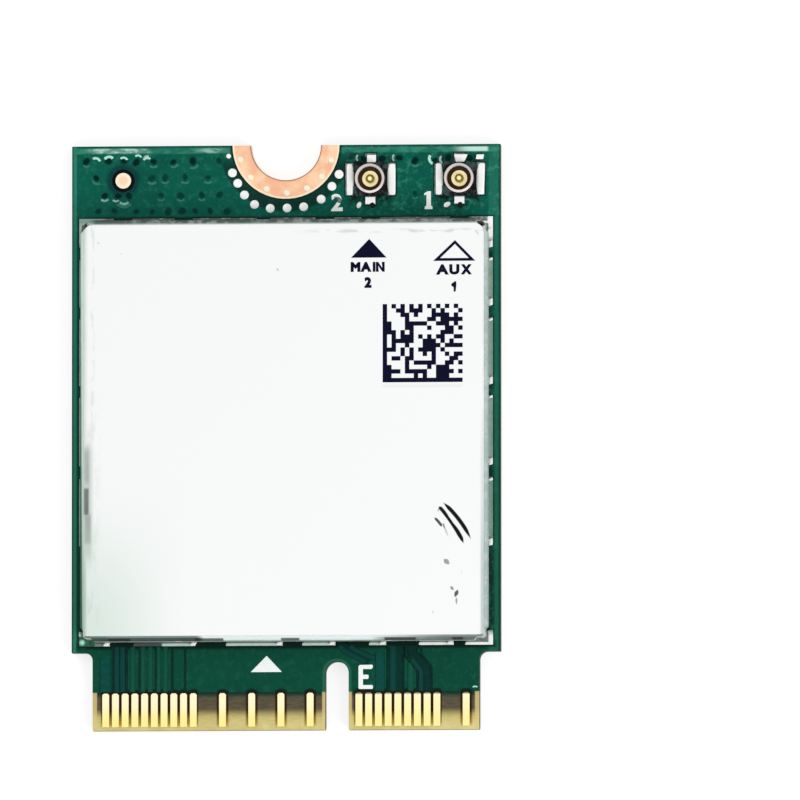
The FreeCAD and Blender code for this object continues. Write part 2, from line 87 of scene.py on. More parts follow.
# Marks on the label: from, to, half width, strength; then bow and where the width is reached and left.
SCUFFS = (
    ((8.14, -3.44), (9.66, -5.46), 0.128, 1.0, 0.13, (0.22, 0.70)),
    ((7.96, -3.68), (9.26, -5.66), 0.105, 1.0, 0.08, (0.08, 0.75)),
    ((7.96, -3.68), (8.66, -4.52), 0.118, 0.97, 0.02, (0.12, 0.30)),
    ((8.40, -4.20), (9.26, -5.62), 0.120, 1.0, 0.06, (0.65, 0.78)),
    ((7.71, -4.22), (8.15, -4.74), 0.095, 0.92, 0.02, (0.3, 0.80)),
    ((8.17, -4.52), (8.32, -4.96), 0.07, 0.7, 0.0, (0.2, 0.4)),
    ((8.00, -3.66), (7.88, -4.04), 0.07, 0.5, 0.02, (0.2, 0.4)),
    ((8.20, -6.36), (8.54, -6.68), 0.15, 0.62),
    ((8.55, -7.74), (8.74, -8.02), 0.10, 0.65),
    ((8.96, -7.92), (8.76, -8.38), 0.125, 0.88),
    ((8.86, -8.26), (8.88, -8.80), 0.075, 0.6),
    ((8.20, -4.60), (8.50, -5.36), 0.075, 0.34),
    ((7.62, -8.94), (7.72, -9.26), 0.06, 0.25),
    ((9.10, -6.86), (9.18, -7.20), 0.05, 0.2),
    ((-0.36, 8.60), (-0.24, 8.38), 0.07, 0.4),
    ((-9.60, 9.98), (-9.40, 9.86), 0.06, 0.3),
    ((-8.40, 9.40), (-8.28, 9.30), 0.05, 0.25),
    ((9.78, 10.54), (10.08, 10.14), 0.08, 0.22),
)


def colour_property(name, description, default):
    return FloatVectorProperty(
        name=name, description=description, subtype="COLOR", size=3, min=0, max=1, default=default,
    )


def length_property(name, description, default):
    return FloatProperty(name=name, description=description, min=0, default=default, precision=3)


class CardColours(bpy.types.PropertyGroup):
    """Colours of the card's finishes."""

    mask_back: colour_property("Mask, back", "Solder mask of the back strip", (0.001, 0.106, 0.072))
    mask_front: colour_property("Mask, front", "Solder mask of the front strip", (0.002, 0.068, 0.038))
    mask_deep: colour_property("Mask, deep", "Solder mask in hollows", (0.001, 0.036, 0.026))
    # Mask, pale also paints the highlight along the board's back edge.
    mask_pale: colour_property("Mask, pale", "Solder mask thinned at edges and rims", (0.045, 0.29, 0.19))
    mask_blue: colour_property("Mask, blue", "Solder mask over close traces", (0.001, 0.036, 0.036))
    laminate: colour_property("Laminate", "Bare laminate at the card's edge", (0.60, 0.51, 0.19))
    laminate_grey: colour_property("Laminate, grey", "Laminate behind the contacts", (0.085, 0.074, 0.052))
    gold: colour_property("Gold", "Edge contacts near the card's edge", (1.0, 0.87, 0.31))
    # The pale gold near the mask is a painted highlight.
    gold_pale: colour_property("Gold, pale", "Edge contacts near the mask", (1.0, 0.94, 0.62))
    copper: colour_property("Copper", "Land of the screw notch", (0.95, 0.49, 0.29))
    copper_pale: colour_property("Copper, pale", "Rim of the land", (1.0, 0.82, 0.58))
    tin: colour_property("Solder", "Solder and tinned lands", (0.98, 0.99, 0.97))
    port: colour_property("Port ring", "Plated rings of the ports", (0.68, 0.60, 0.57))
    resin: colour_property("Port base", "Moulded bases of the ports", (0.004, 0.005, 0.006))
    steel: colour_property("Shield sheet", "Tinned sheet of the shield can", (0.60, 0.66, 0.64))
    paper: colour_property("Label", "White film label", (0.95, 0.96, 0.955))
    ink: colour_property("Label ink", "Print on the label", (0.003, 0.003, 0.020))
    legend: colour_property("Legend ink", "White print on the board", (0.92, 0.96, 0.94))


class CardSizes(bpy.types.PropertyGroup):
    """Sizes of the fine detail, in millimetres."""

    via_radius: length_property("Via rim", "Outer radius of a covered via", 0.24)
    via_hole: length_property("Via hole", "Radius of a via's dark middle", 0.16)
    via_rise: length_property("Via rise", "Height of a via's rim over the mask", 0.016)
    trace_rise: length_property("Trace rise", "Height of a trace under the mask", 0.012)
    print_rise: length_property("Print rise", "Thickness of the print", 0.006)
    dot_rise: length_property("Dot rise", "Height of a solder dot", 0.055)
    code_modules: IntProperty(name="Code modules", description="Squares along the code", default=18, min=8)
    code_seed: IntProperty(name="Code seed", description="Start of the code's random fill", default=23)


class CardStage(bpy.types.PropertyGroup):
    """Camera and light."""

    lens: FloatProperty(name="Lens", description="Focal length", default=1000, unit="CAMERA")
    distance: FloatProperty(name="Distance", description="Camera to card", default=1.1370, unit="LENGTH")
    lean_right: FloatProperty(
        name="Lean right", description="Tilt of the view to the right", subtype="ANGLE",
        default=math.radians(4.6),
    )
    lean_front: FloatProperty(
        name="Lean front", description="Tilt of the view to the contacts", subtype="ANGLE",
        default=math.radians(4.2),
    )
    aim_x: FloatProperty(name="Aim X", description="Middle of the picture, in millimetres", default=5.86)
    aim_y: FloatProperty(name="Aim Y", description="Middle of the picture, in millimetres", default=1.88)
    key_power: FloatProperty(name="Key", description="Lamp at the lower right", default=0.26, unit="POWER")
    tent: FloatProperty(name="Tent", description="Even light from all round", default=0.69)


# Shader graphs

class Value:
    """A socket of a node tree; arithmetic on it adds Math nodes."""

    def __init__(self, graph, socket):
        self.graph = graph
        self.socket = socket

    def __add__(self, other):
        return self.graph.maths("ADD", self, other)

    def __radd__(self, other):
        return self.graph.maths("ADD", other, self)

    def __sub__(self, other):
        return self.graph.maths("SUBTRACT", self, other)

    def __rsub__(self, other):
        return self.graph.maths("SUBTRACT", other, self)

    def __mul__(self, other):
        return self.graph.maths("MULTIPLY", self, other)

    def __rmul__(self, other):
        return self.graph.maths("MULTIPLY", other, self)

    def __truediv__(self, other):
        return self.graph.maths("DIVIDE", self, other)

    def __rtruediv__(self, other):
        return self.graph.maths("DIVIDE", other, self)

    def __pow__(self, other):
        return self.graph.maths("POWER", self, other)

    def __rpow__(self, other):
        return self.graph.maths("POWER", other, self)

    def __abs__(self):
        return self.graph.maths("ABSOLUTE", self)

    def lower(self, other):
        return self.graph.maths("MINIMUM", self, other)

    def higher(self, other):
        return self.graph.maths("MAXIMUM", self, other)

    def rise(self, low, high):
        """Smooth step from 0 below low to 1 above high."""
        sockets = {"Value": self, "From Min": low, "From Max": high}
        return self.graph.node("MapRange", sockets, interpolation_type="SMOOTHSTEP")

    def fall(self, low, high):
        return 1 - self.rise(low, high)

    def between(self, low, high, soft):
        return self.rise(low - soft, low + soft) * self.fall(high - soft, high + soft)


def highest(first, *others):
    """The largest of several values at each point."""
    for other in others:
        first = first.higher(other)
    return first


class Graph:
    """A node tree filled from scratch."""

    def __init__(self, tree):
        self.tree = tree
        tree.nodes.clear()

    def node(self, kind, sockets=None, output=0, **settings):
        """Adds a shader node: its settings first, then its sockets' values and links."""
        made = self.tree.nodes.new("ShaderNode" + kind)
        for key, value in settings.items():
            setattr(made, key, value)
        for key, value in (sockets or {}).items():
            if isinstance(value, Value):
                self.tree.links.new(value.socket, made.inputs[key])
            else:
                made.inputs[key].default_value = value
        return Value(self, made.outputs[output]) if made.outputs else None

    def maths(self, operation, first, second=0.0):
        return self.node("Math", {0: first, 1: second}, operation=operation)

    def seen_directly(self):
        """1 for rays that show the stage as a background."""
        rays = ("Is Camera Ray", "Is Glossy Ray", "Is Transmission Ray")
        return highest(*(self.node("LightPath", output=ray) for ray in rays))


class Finish(Graph):
    """A procedural material on Object coordinates, counted in millimetres."""

    def __init__(self, name):
        self.material = bpy.data.materials.new(name)
        self.material.use_nodes = True
        super().__init__(self.material.node_tree)
        place = self.node("TexCoord", output="Object")
        self.place = self.node("VectorMath", {0: place, "Scale": 1 / MM}, operation="SCALE")
        self.x, self.y, self.z = (self.node("SeparateXYZ", {0: self.place}, axis) for axis in "XYZ")

    def noise(self, scale, detail=3.0, rough=0.55, stretch=(1, 1, 1), shift=0.0):
        place = self.node("Mapping", {
            "Vector": self.place, "Scale": stretch, "Location": (shift, -shift, shift / 2),
        })
        return self.node("TexNoise", {
            "Vector": place, "Scale": scale, "Detail": detail, "Roughness": rough,
        })

    def cells(self, scale, flat=False):
        """Distance from the nearest of many scattered points, in plan only where flat."""
        sockets = {"Vector": self.place, "Scale": scale}
        return self.node("TexVoronoi", sockets, voronoi_dimensions="2D" if flat else "3D")

    def layers(self, base, *coats):
        """Lays coats of (cover, colour) over a base colour, in order."""
        def colour(value):
            return value if isinstance(value, Value) else (*value, 1)

        for cover, coat in coats:
            base = self.node("Mix", {0: cover, 6: colour(base), 7: colour(coat)}, 2, data_type="RGBA")
        return base

    def away_from(self, x, y):
        """Distance in plan from an upright axis."""
        return ((self.x - x) ** 2 + (self.y - y) ** 2) ** 0.5

    def from_land(self):
        """Distance in plan from the screw notch's axis."""
        return self.away_from(0, NOTCH_Y)

    def from_port(self):
        """Distance in plan from the nearer port's axis."""
        main, aux = (middle_of(port + "_base") for port in PORTS)
        return self.away_from(main.x, main.y).lower(self.away_from(aux.x, aux.y))

    def from_mark(self):
        """Distance in plan from the placement mark's axis."""
        mark = middle_of("fiducial_dot")
        return self.away_from(mark.x, mark.y)

    def from_can(self):
        """Distance in plan from the cover's outline, negative on the cover."""
        can = middle_of("shield_cover")
        reach = corners_of("shield_cover")[1] - can
        return (abs(self.x - can.x) - reach.x).higher(abs(self.y - can.y) - reach.y)

    def stroke(self, start, end, width, bend=0.0, full=(0.45, 0.45)):
        """A mark from start to end, bowed by bend; full says where its width is reached and left."""
        run = Vector(end) - Vector(start)
        length = run.length
        ux, uy = run / length
        along = ((self.x - start[0]) * ux + (self.y - start[1]) * uy) / length
        across = (self.y - start[1]) * ux - (self.x - start[0]) * uy
        bowed = abs(across - along * (1 - along) * (4 * bend))
        taper = along.rise(0, full[0]) * along.fall(full[1], 1)
        return (taper ** 0.6 * width - bowed).rise(0.0, 0.05)

    def level(self):
        """1 on faces that lie flat, 0 on walls."""
        normal = self.node("NewGeometry", output="Normal")
        return abs(self.node("SeparateXYZ", {0: normal}, "Z")).rise(0.55, 0.75)

    def close(self, base, roughness, height, depth, metallic=0.0, gloss=0.5):
        """Ends the material with a relief whose depth is in millimetres."""
        relief = self.node("Bump", {"Height": height, "Distance": depth * MM})
        shader = self.node("BsdfPrincipled", {
            "Base Color": base, "Roughness": roughness, "Metallic": metallic,
            "Specular IOR Level": gloss, "Normal": relief,
        })
        self.node("OutputMaterial", {"Surface": shader})
        return self.material


class BoardFinish(Finish):
    """Green mask on both faces, bare laminate in the contact windows and on the cut edges."""

    def __init__(self, colours):
        super().__init__("solder_mask_board")
        x, y = self.x, self.y
        self.colours = colours
        self.upper = self.z.rise(0.3, 0.5)
        self.under = 1 - self.upper
        self.clouds = self.noise(0.55, 4, 0.6)
        self.mottle = self.noise(3.2, 4, 0.65, shift=3)
        self.grain = self.noise(9, 3, 0.7, shift=8)
        self.fibre = self.noise(2.2, 5, 0.6, stretch=(1.0, 5.0, 1.0), shift=5)
        self.beside_mark = self.from_mark()
        self.beside_key = ((x - KEY_X) ** 2 + (y - KEY_END_Y).higher(0) ** 2) ** 0.5
        # Distance across from the nearest contact; the two faces' contacts are half a pitch apart.
        self.beside_contact = self.maths("PINGPONG", x + self.upper * (PITCH / 2), PITCH / 2)
        self.full_row = abs(x).fall(9.35, 9.45) * abs(x - KEY_X).rise(0.95, 1.05)
        groups = [x.between(-9.5, -4.5, 0.04), x.between(3.5, 8.0, 0.04)]
        groups += [x.between(place - 0.30, place + 0.30, 0.06) for place in LONE_CONTACTS]
        self.contacts = highest(*groups) * self.upper + self.full_row * self.under

    def finished(self):
        half = BOARD_TOP / 2
        level = self.level()
        masked = level * abs(self.z - half).rise(half - 0.025, half - 0.015)
        plies = self.node("TexWave", {
            "Vector": self.place, "Scale": 2.2, "Distortion": 0.6, "Detail": 2.0,
        }, bands_direction="Z")
        cut = self.layers((0.075, 0.11, 0.05), (plies * 0.6, (0.03, 0.06, 0.03)))
        base = self.layers(cut, (level, self.layers(self.laminate(), (masked, self.mask()))))
        rough = 0.62 - masked * 0.30 + self.grain * 0.12
        smooth_relief = (self.mottle * 0.5 + self.grain * 0.25) * masked
        return self.close(base, rough, smooth_relief + self.fibre * (1 - masked) * 0.6, 0.010, gloss=0.05)

    def mask(self):
        """The mask and what shows through it: glare at the edges, rims of vias, traces."""
        colours, upper, under, x, y = self.colours, self.upper, self.under, self.x, self.y
        pale, deep = colours.mask_pale, colours.mask_deep
        glare = self.noise(1.6, 4, 0.6, stretch=(1.0, 2.5, 1.0), shift=6)
        lively = 0.10 + y.rise(10, 12) * upper * (0.14 + x.rise(2.5, 3.5) * 0.35)
        # Paler mask along the right and left edges; along the back edge a painted highlight where the
        # bevelled edge catches the light.
        bands = highest(
            x.between(10.42, 10.90, 0.05) * 0.26,
            x.between(-10.93, -10.76, 0.03) * 0.55,
            y.between(14.60, 14.88, 0.05) * (0.30 + glare.rise(0.40, 0.65) * 0.5) * upper,
        )
        # Painted glare along the back edge, strongest towards the right.
        bright = highest(
            x.rise(8.4, 9.5) * x.fall(10.28, 10.46),
            x.between(-10.0, -7.2, 0.4) * (0.22 + glare.rise(0.42, 0.60) * 0.6),
            x.between(-4.4, -3.0, 0.4) * (0.10 + glare.rise(0.44, 0.60) * 0.35),
        ) * y.between(14.64, 14.87, 0.04) * upper
        edge = (CARD_SIDE - abs(x)).lower(NOTCH_Y - y)
        vias = self.cells(0.62, flat=True)
        lanes = self.beside_contact.fall(0.06, 0.10) * self.full_row * y.fall(-9.5, -7.5)
        rims = vias.between(0.10, 0.15, 0.015).higher(lanes * self.clouds.rise(0.40, 0.50) * 0.5) * under
        return self.layers(
            colours.mask_front,
            (y.rise(-9, 9), colours.mask_back),
            (self.clouds.fall(0.3, 0.6) * 0.30, deep),
            (self.mottle.rise(0.48, 0.72) * lively, pale),
            (self.grain.rise(0.5, 0.75) * lively, deep),
            (bands, pale),
            (bright * 0.85, (0.66, 0.93, 0.83)),
            (self.beside_key.between(0.62, 0.74, 0.03) * y.fall(-10, -9) * 0.28, pale),
            (edge.fall(0.02, 0.07) * 0.8, deep),
            (self.beside_mark.fall(0.72, 0.95) * upper * 0.75, (0.002, 0.030, 0.034)),
            (rims * 0.5, pale),
            (vias.fall(0.07, 0.09) * under * 0.8, deep),
            (self.shade(), (0.003, 0.010, 0.008)),
        )

    def shade(self):
        """Dark lines beside the screw land, the ports, the can and the ends of the contacts."""
        x, y, land = self.x, self.y, self.from_land()
        tall = [land.fall(3.32, 3.52) * y.fall(13.8, 14.6) * 0.72]
        for port in PORTS:
            middle = middle_of(port + "_base")
            near = abs(x - middle.x).fall(0.95, 1.3) * abs(y - middle.y).fall(0.9, 1.6)
            tall.append(near * (0.25 + self.mottle.fall(0.40, 0.58) * 0.7))
        left, right = x.fall(-10.4, -10.2), x.rise(10.2, 10.3)
        covered = 0.88 - left * 0.45 - right * 0.12 - right * self.mottle.rise(0.42, 0.60) * 0.5
        can = self.from_can() - y.fall(-10.5, -10.4) * 0.10
        tall.append(can.fall(0.14, 0.34) * covered)
        lip = (self.beside_contact ** 2 + (y - CONTACT_END_Y).higher(0) ** 2) ** 0.5
        return highest(
            highest(*tall) * self.upper,
            land.between(2.70, 2.86, 0.05) * 0.85,
            self.contacts * y.fall(-12.5, -12.4) * lip.fall(0.33, 0.44) * 0.95,
        )

    def laminate(self):
        """Bare laminate round the contacts and in the placement mark's window."""
        x, y = self.x, self.y
        smooth = self.noise(0.8, 3, 0.5, shift=12)
        ends = abs(x).rise(9.66, 9.74).higher(self.beside_key.fall(0.72, 0.80))
        shadow = self.layers((0.38, 0.23, 0.03), (y.rise(-14.70, -13.95), (0.024, 0.009, 0.001)))
        well = self.layers((0.002, 0.004, 0.004), (self.beside_mark.rise(0.53, 0.60), (0.003, 0.028, 0.030)))
        return self.layers(
            self.colours.laminate,
            (y.rise(-14.40, -13.85), self.colours.laminate_grey),
            (self.fibre.rise(0.35, 0.75) * 0.30, (0.30, 0.19, 0.07)),
            (y.fall(-14.9, -14.2) * (0.3 + smooth.rise(0.40, 0.7) * 0.5), (0.80, 0.70, 0.32)),
            (y.rise(-13.6, -13.0) * 0.6, (0.035, 0.058, 0.045)),
            (y.rise(-13.36, -13.12) * self.upper * 0.95, (0.006, 0.038, 0.024)),
            (ends * 0.75, (0.72, 0.58, 0.24)),
            (self.contacts * y.rise(-14.92, -14.6), shadow),
            (y.rise(-12.9, -12.8), well),
        )


def finish_mask(name, colours, colour, highlight):
    """Mask over raised copper, brighter on its crest."""
    mask = Finish(name)
    mottle = mask.noise(4.5, 4, 0.6)
    grain = mask.noise(14, 2, 0.6, shift=4)
    crest = (mask.z - BOARD_TOP).rise(0.0, 0.016)
    base = mask.layers(
        colour,
        (mottle.rise(0.35, 0.7) * 0.5, colours.mask_deep),
        (crest * highlight * (0.4 + mottle), colours.mask_pale),
    )
    return mask.close(base, 0.26 + grain * 0.15, grain, 0.006, gloss=0.06)


def finish_gold(colours):
    """Plated contacts, paler near the mask as a painted highlight, and rubbed near the card's edge."""
    gold = Finish("gold_contacts")
    wear = gold.noise(2.0, 4, 0.6, stretch=(6.0, 1.0, 1.0))
    pits = gold.noise(16, 2, 0.6, shift=6)
    right = gold.x.rise(3.0, 3.4)
    base = gold.layers(
        colours.gold,
        # Paler towards the mask: a painted highlight.
        (gold.y.rise(-14.6, -13.4), colours.gold_pale),
        (right * gold.y.fall(-13.5, -13.2) * 0.5, (1.0, 0.90, 0.40)),
        (wear.rise(0.55, 0.8) * 0.25, (0.90, 0.70, 0.30)),
        (right * gold.y.rise(-13.22, -13.13) * gold.z.rise(0.3, 0.5) * 0.85, (0.045, 0.055, 0.020)),
    )
    return gold.close(base, 0.26 + wear * 0.2 + pits * 0.08, wear + pits * 0.3, 0.004, 0.35)


def finish_port_contact(colours):
    """Turned gold contact with painted shade and highlights round its tip and a painted shadow on its tail.
    """
    gold = Finish("gold_port_contacts")
    nearest = gold.from_port()
    turned = gold.noise(9, 3, 0.6)
    # Painted shadow of the port's body across the top of the tail.
    tail = (gold.y - middle_of("main_port_base").y).rise(-0.96, -0.90) * nearest.rise(0.60, 0.65)
    base = gold.layers(
        (1.0, 0.84, 0.36),
        # Painted shade in a ring round the tip, then painted highlights on a wider ring and on the tip
        # itself.
        (nearest.between(0.11, 0.22, 0.04), (0.32, 0.25, 0.03)),
        (nearest.between(0.28, 0.40, 0.03) * 0.8, (1.0, 0.91, 0.60)),
        (nearest.fall(0.08, 0.14), (1.0, 0.90, 0.46)),
        (turned.rise(0.55, 0.8) * 0.3, (0.66, 0.48, 0.18)),
        (nearest.rise(0.44, 0.5), colours.tin),
        (tail * 0.95, (0.004, 0.006, 0.006)),
    )
    return gold.close(base, 0.28 + turned * 0.2, turned, 0.004, 0.45)


def finish_port_ring(colours):
    """Plated ring with painted shade at the back and on its outer wall, and a painted highlight at the
    front.
    """
    ring = Finish("port_plating")
    behind = ring.y - middle_of("main_port_base").y
    flow = ring.noise(2.6, 4, 0.6)
    fine = ring.noise(13, 3, 0.6, shift=7)
    base = ring.layers(
        colours.port,
        # Painted shade at the back, a painted highlight at the front.
        (behind.rise(-0.1, 0.7) * 0.7, (0.52, 0.52, 0.51)),
        (behind.fall(-0.75, -0.35) * 0.7, (0.98, 0.93, 0.90)),
        (flow.rise(0.5, 0.7) * 0.4, (0.50, 0.42, 0.42)),
        # Painted shade on the outer wall.
        (ring.from_port().rise(0.748, 0.765), (0.03, 0.025, 0.025)),
    )
    return ring.close(base, 0.28 + flow * 0.18 + fine * 0.08, flow * 0.7 + fine * 0.3, 0.008, 0.4)


def finish_port_base(colours):
    """Dark moulding, brown inside the ring."""
    resin = Finish("port_moulding")
    flow = resin.noise(3.0, 4, 0.6)
    patches = resin.noise(2.4, 3, 0.6, shift=21)
    grains = resin.noise(16, 3, 0.6, shift=9)
    base = resin.layers(
        colours.resin,
        (patches.rise(0.46, 0.60), (0.050, 0.085, 0.075)),
        (flow.rise(0.52, 0.62) * 0.7, (0.030, 0.020, 0.034)),
        (resin.from_port().fall(0.58, 0.64) * (0.5 + flow * 0.7), (0.050, 0.024, 0.006)),
    )
    return resin.close(base, 0.5 + grains * 0.15, grains, 0.006, gloss=0.08)


def finish_copper(colours):
    """Thinly plated copper land with a pale outer rim."""
    copper = Finish("copper_land")
    around = copper.from_land()
    patina = copper.noise(1.1, 5, 0.6)
    scratches = copper.noise(3.0, 3, 0.7, stretch=(1.0, 9.0, 1.0), shift=2)
    base = copper.layers(
        colours.copper,
        (patina.rise(0.38, 0.62) * 0.85, (1.0, 0.71, 0.46)),
        (around.rise(2.60, 2.70), colours.copper_pale),
        (around.fall(1.84, 1.95) * 0.35, (0.72, 0.36, 0.22)),
        (scratches.rise(0.6, 0.8) * 0.2, colours.copper_pale),
        (around.fall(1.82, 1.87) * copper.level() * 0.75, (0.10, 0.045, 0.030)),
    )
    return copper.close(base, 0.34 + patina * 0.15, patina + scratches * 0.4, 0.006, 0.30)


def finish_fiducial():
    """Plated placement mark, paler towards its edge."""
    mark = Finish("fiducial_plating")
    spots = mark.noise(7, 3, 0.6)
    base = mark.layers(
        (0.98, 0.70, 0.48),
        (mark.from_mark().rise(0.16, 0.32), (1.0, 0.88, 0.66)),
        (spots.rise(0.55, 0.8) * 0.3, (0.90, 0.66, 0.42)),
    )
    return mark.close(base, 0.3 + spots * 0.15, spots, 0.005, 0.25)


def finish_tin(name, colour, dull=0.86):
    """Solder or plating with a slightly crystalline surface."""
    tin = Finish(name)
    flow = tin.noise(2.6, 4, 0.6)
    fine = tin.noise(13, 3, 0.6, shift=7)
    base = tin.layers(
        colour,
        (flow.rise(0.48, 0.75) * 0.5, tuple(channel * dull for channel in colour)),
        (tin.cells(4.5).rise(0.45, 0.8) * 0.15, (1, 1, 1)),
    )
    return tin.close(base, 0.28 + flow * 0.18 + fine * 0.08, flow * 0.7 + fine * 0.3, 0.010, 0.12)


def finish_sheet(colours):
    """Tinned sheet with grey stains, and painted light and shade along its bends, at its open corners and
    over the fence's windows.
    """
    sheet = Finish("tinned_sheet")
    x, y, can = sheet.x, sheet.y, sheet.from_can()
    rolled = sheet.noise(2.6, 4, 0.6, stretch=(1.0, 6.0, 1.0))
    stains = sheet.noise(1.6, 4, 0.65, shift=9)
    fine = sheet.noise(13, 3, 0.6, shift=7)
    crown = sheet.z.rise(1.99, 2.07)
    # Painted highlights and shade along the cover's top bends, broken up by the stain noise.
    bend_light_and_shade = can.rise(-0.17, -0.02) * crown * (1 - x.rise(10.1, 10.2) * 0.75)
    # Painted shade on the back bend.
    back = can.rise(-0.26, -0.16) * y.rise(10.7, 10.8) * crown
    # A slanting dark green line on the left bend: a painted reflection of the board.
    lean = x + 10.45 + (y - 4) * 0.007
    # Painted reflection of the board on the right bend.
    right_bend_reflection = x.rise(10.20, 10.30) * crown * (0.45 + stains.rise(0.42, 0.58) * 0.45)
    # Painted light and shade along the front bend, dark green at its left end as a painted reflection of the
    # board.
    front_bend_light = sheet.layers(
        (0.17, 0.23, 0.22),
        (x.rise(-4.5, -4.1), (0.74, 0.84, 0.83)),
        (x.rise(4.2, 8.8), (0.20, 0.25, 0.25)),
        (x.fall(-9.4, -8.8) * 0.8, (0.06, 0.15, 0.10)),
    )
    # Painted shade on the lower edge of the front bend.
    front_bend_shade = x.fall(-4.4, -4.0).higher(x.rise(4.3, 5.3) * 0.6) * (0.7 + stains * 0.4)
    # Painted shade in the cover's open corners and on the front bend over the fence's windows; there the
    # sheet also loses its metal look.
    corners = sheet.stroke((-10.45, 10.50), (-10.05, 11.08), 0.13)
    corners = corners.higher(sheet.stroke((9.86, 11.02), (10.44, 10.70), 0.20)) * sheet.level()
    over_window = y.fall(-10.40, -10.34) * crown * 0.85
    windows = (*CAN_WINDOWS[:3], *CAN_WINDOWS[4:])
    dark = highest(corners, *(x.between(low, high, 0.05) * over_window for low, high in windows))
    base = sheet.layers(
        colours.steel,
        (rolled.rise(0.4, 0.75) * 0.45, (0.46, 0.50, 0.48)),
        (stains.rise(0.5, 0.7) * 0.25, (0.40, 0.45, 0.43)),
        (bend_light_and_shade * stains.rise(0.46, 0.60) * 0.75, (0.03, 0.04, 0.037)),
        (bend_light_and_shade * stains.fall(0.30, 0.42) * 0.8, (0.92, 0.96, 0.93)),
        (back * (0.66 + stains.rise(0.40, 0.55) * 0.29), (0.055, 0.085, 0.075)),
        # Painted reflection of the board on the left bend.
        (x.fall(-10.34, -10.20) * crown * 0.8, (0.56, 0.74, 0.64)),
        (lean.fall(-0.02, 0.10) * crown, (0.004, 0.080, 0.038)),
        (right_bend_reflection, (0.38, 0.48, 0.46)),
        (y.fall(-10.26, -10.20) * crown * 0.9, front_bend_light),
        (y.fall(-10.37, -10.30) * crown * front_bend_shade, (0.035, 0.055, 0.052)),
        (dark, (0.006, 0.008, 0.008)),
    )
    rough = 0.30 + rolled * 0.15 + fine * 0.08
    return sheet.close(base, rough, rolled * 0.7 + fine * 0.3, 0.010, 0.45 - dark * 0.45, gloss=0.2)


def finish_can_solder(colours):
    """Solder along the can's feet: bright at its outer edge; painted shade where it meets the sheet and at
    the back, painted reflections on the sides and a painted glint.
    """
    solder = Finish("can_solder")
    x, y = solder.x, solder.y
    flow = solder.noise(2.2, 4, 0.6)
    fine = solder.noise(12, 3, 0.6, shift=7)
    front = y.fall(-10.3, -10.2)
    dim = x.between(-8.2, -6.35, 0.06).higher(x.between(-9.80, -9.36, 0.05) * 0.72)
    # Darker, greener solder along the sides: a painted reflection of the green board.
    greener = x.fall(0, 1).higher(y.fall(-2.3, -1.9) * 0.9)
    side_board_reflection = solder.layers((0.135, 0.275, 0.20), (greener, (0.075, 0.22, 0.145)))
    # Painted shade on the solder along the back.
    back = y.rise(11.0, 11.1) * (0.72 + flow.rise(0.36, 0.5) * 0.23) * (0.5 + x.rise(-9.9, -9.5) * 0.5)
    # Painted shade on the solder at the back left corner.
    back_left_shade = x.fall(-9.7, -9.3) * y.rise(9.9, 10.3) * (0.6 + flow * 0.5)
    # Painted shade where the solder meets the sheet.
    gap = solder.from_can().fall(0.03, 0.07) * y.fall(10.9, 11.0) * x.fall(10.35, 10.45)
    base = solder.layers(
        colours.tin,
        (flow.rise(0.45, 0.70) * 0.5, (0.62, 0.74, 0.68)),
        (front * x.fall(5.0, 6.5) * 0.7, (0.40, 0.60, 0.53)),
        (front * dim * 0.92, (0.010, 0.030, 0.024)),
        (abs(y).fall(9.9, 10.3) * (0.75 + flow * 0.25), side_board_reflection),
        (back * x.fall(10.32, 10.42), (0.030, 0.055, 0.045)),
        (back_left_shade, (0.20, 0.34, 0.27)),
        (gap * 0.85, (0.025, 0.035, 0.032)),
        (x.fall(-9.86, -9.72) * y.fall(-10.2, -10.1), (0.012, 0.095, 0.052)),
        # A painted mint glint at the front left corner.
        (solder.away_from(-10.46, -10.48).fall(0.04, 0.20) * 0.9, (0.42, 0.85, 0.64)),
    )
    return solder.close(base, 0.28 + flow * 0.2 + fine * 0.08, flow * 0.7 + fine * 0.3, 0.015, 0.3)


def finish_resin(name, colour, speck, roughness=0.55, gloss=0.3):
    """Moulded or fired body with fine filler grains."""
    body = Finish(name)
    grains = body.noise(18, 3, 0.6, shift=9)
    base = body.layers(
        colour,
        (body.noise(1.8, 4, 0.6) * 0.5, speck),
        (grains.rise(0.6, 0.8) * 0.3, speck),
    )
    return body.close(base, roughness + grains * 0.15, grains, 0.006, gloss=gloss)


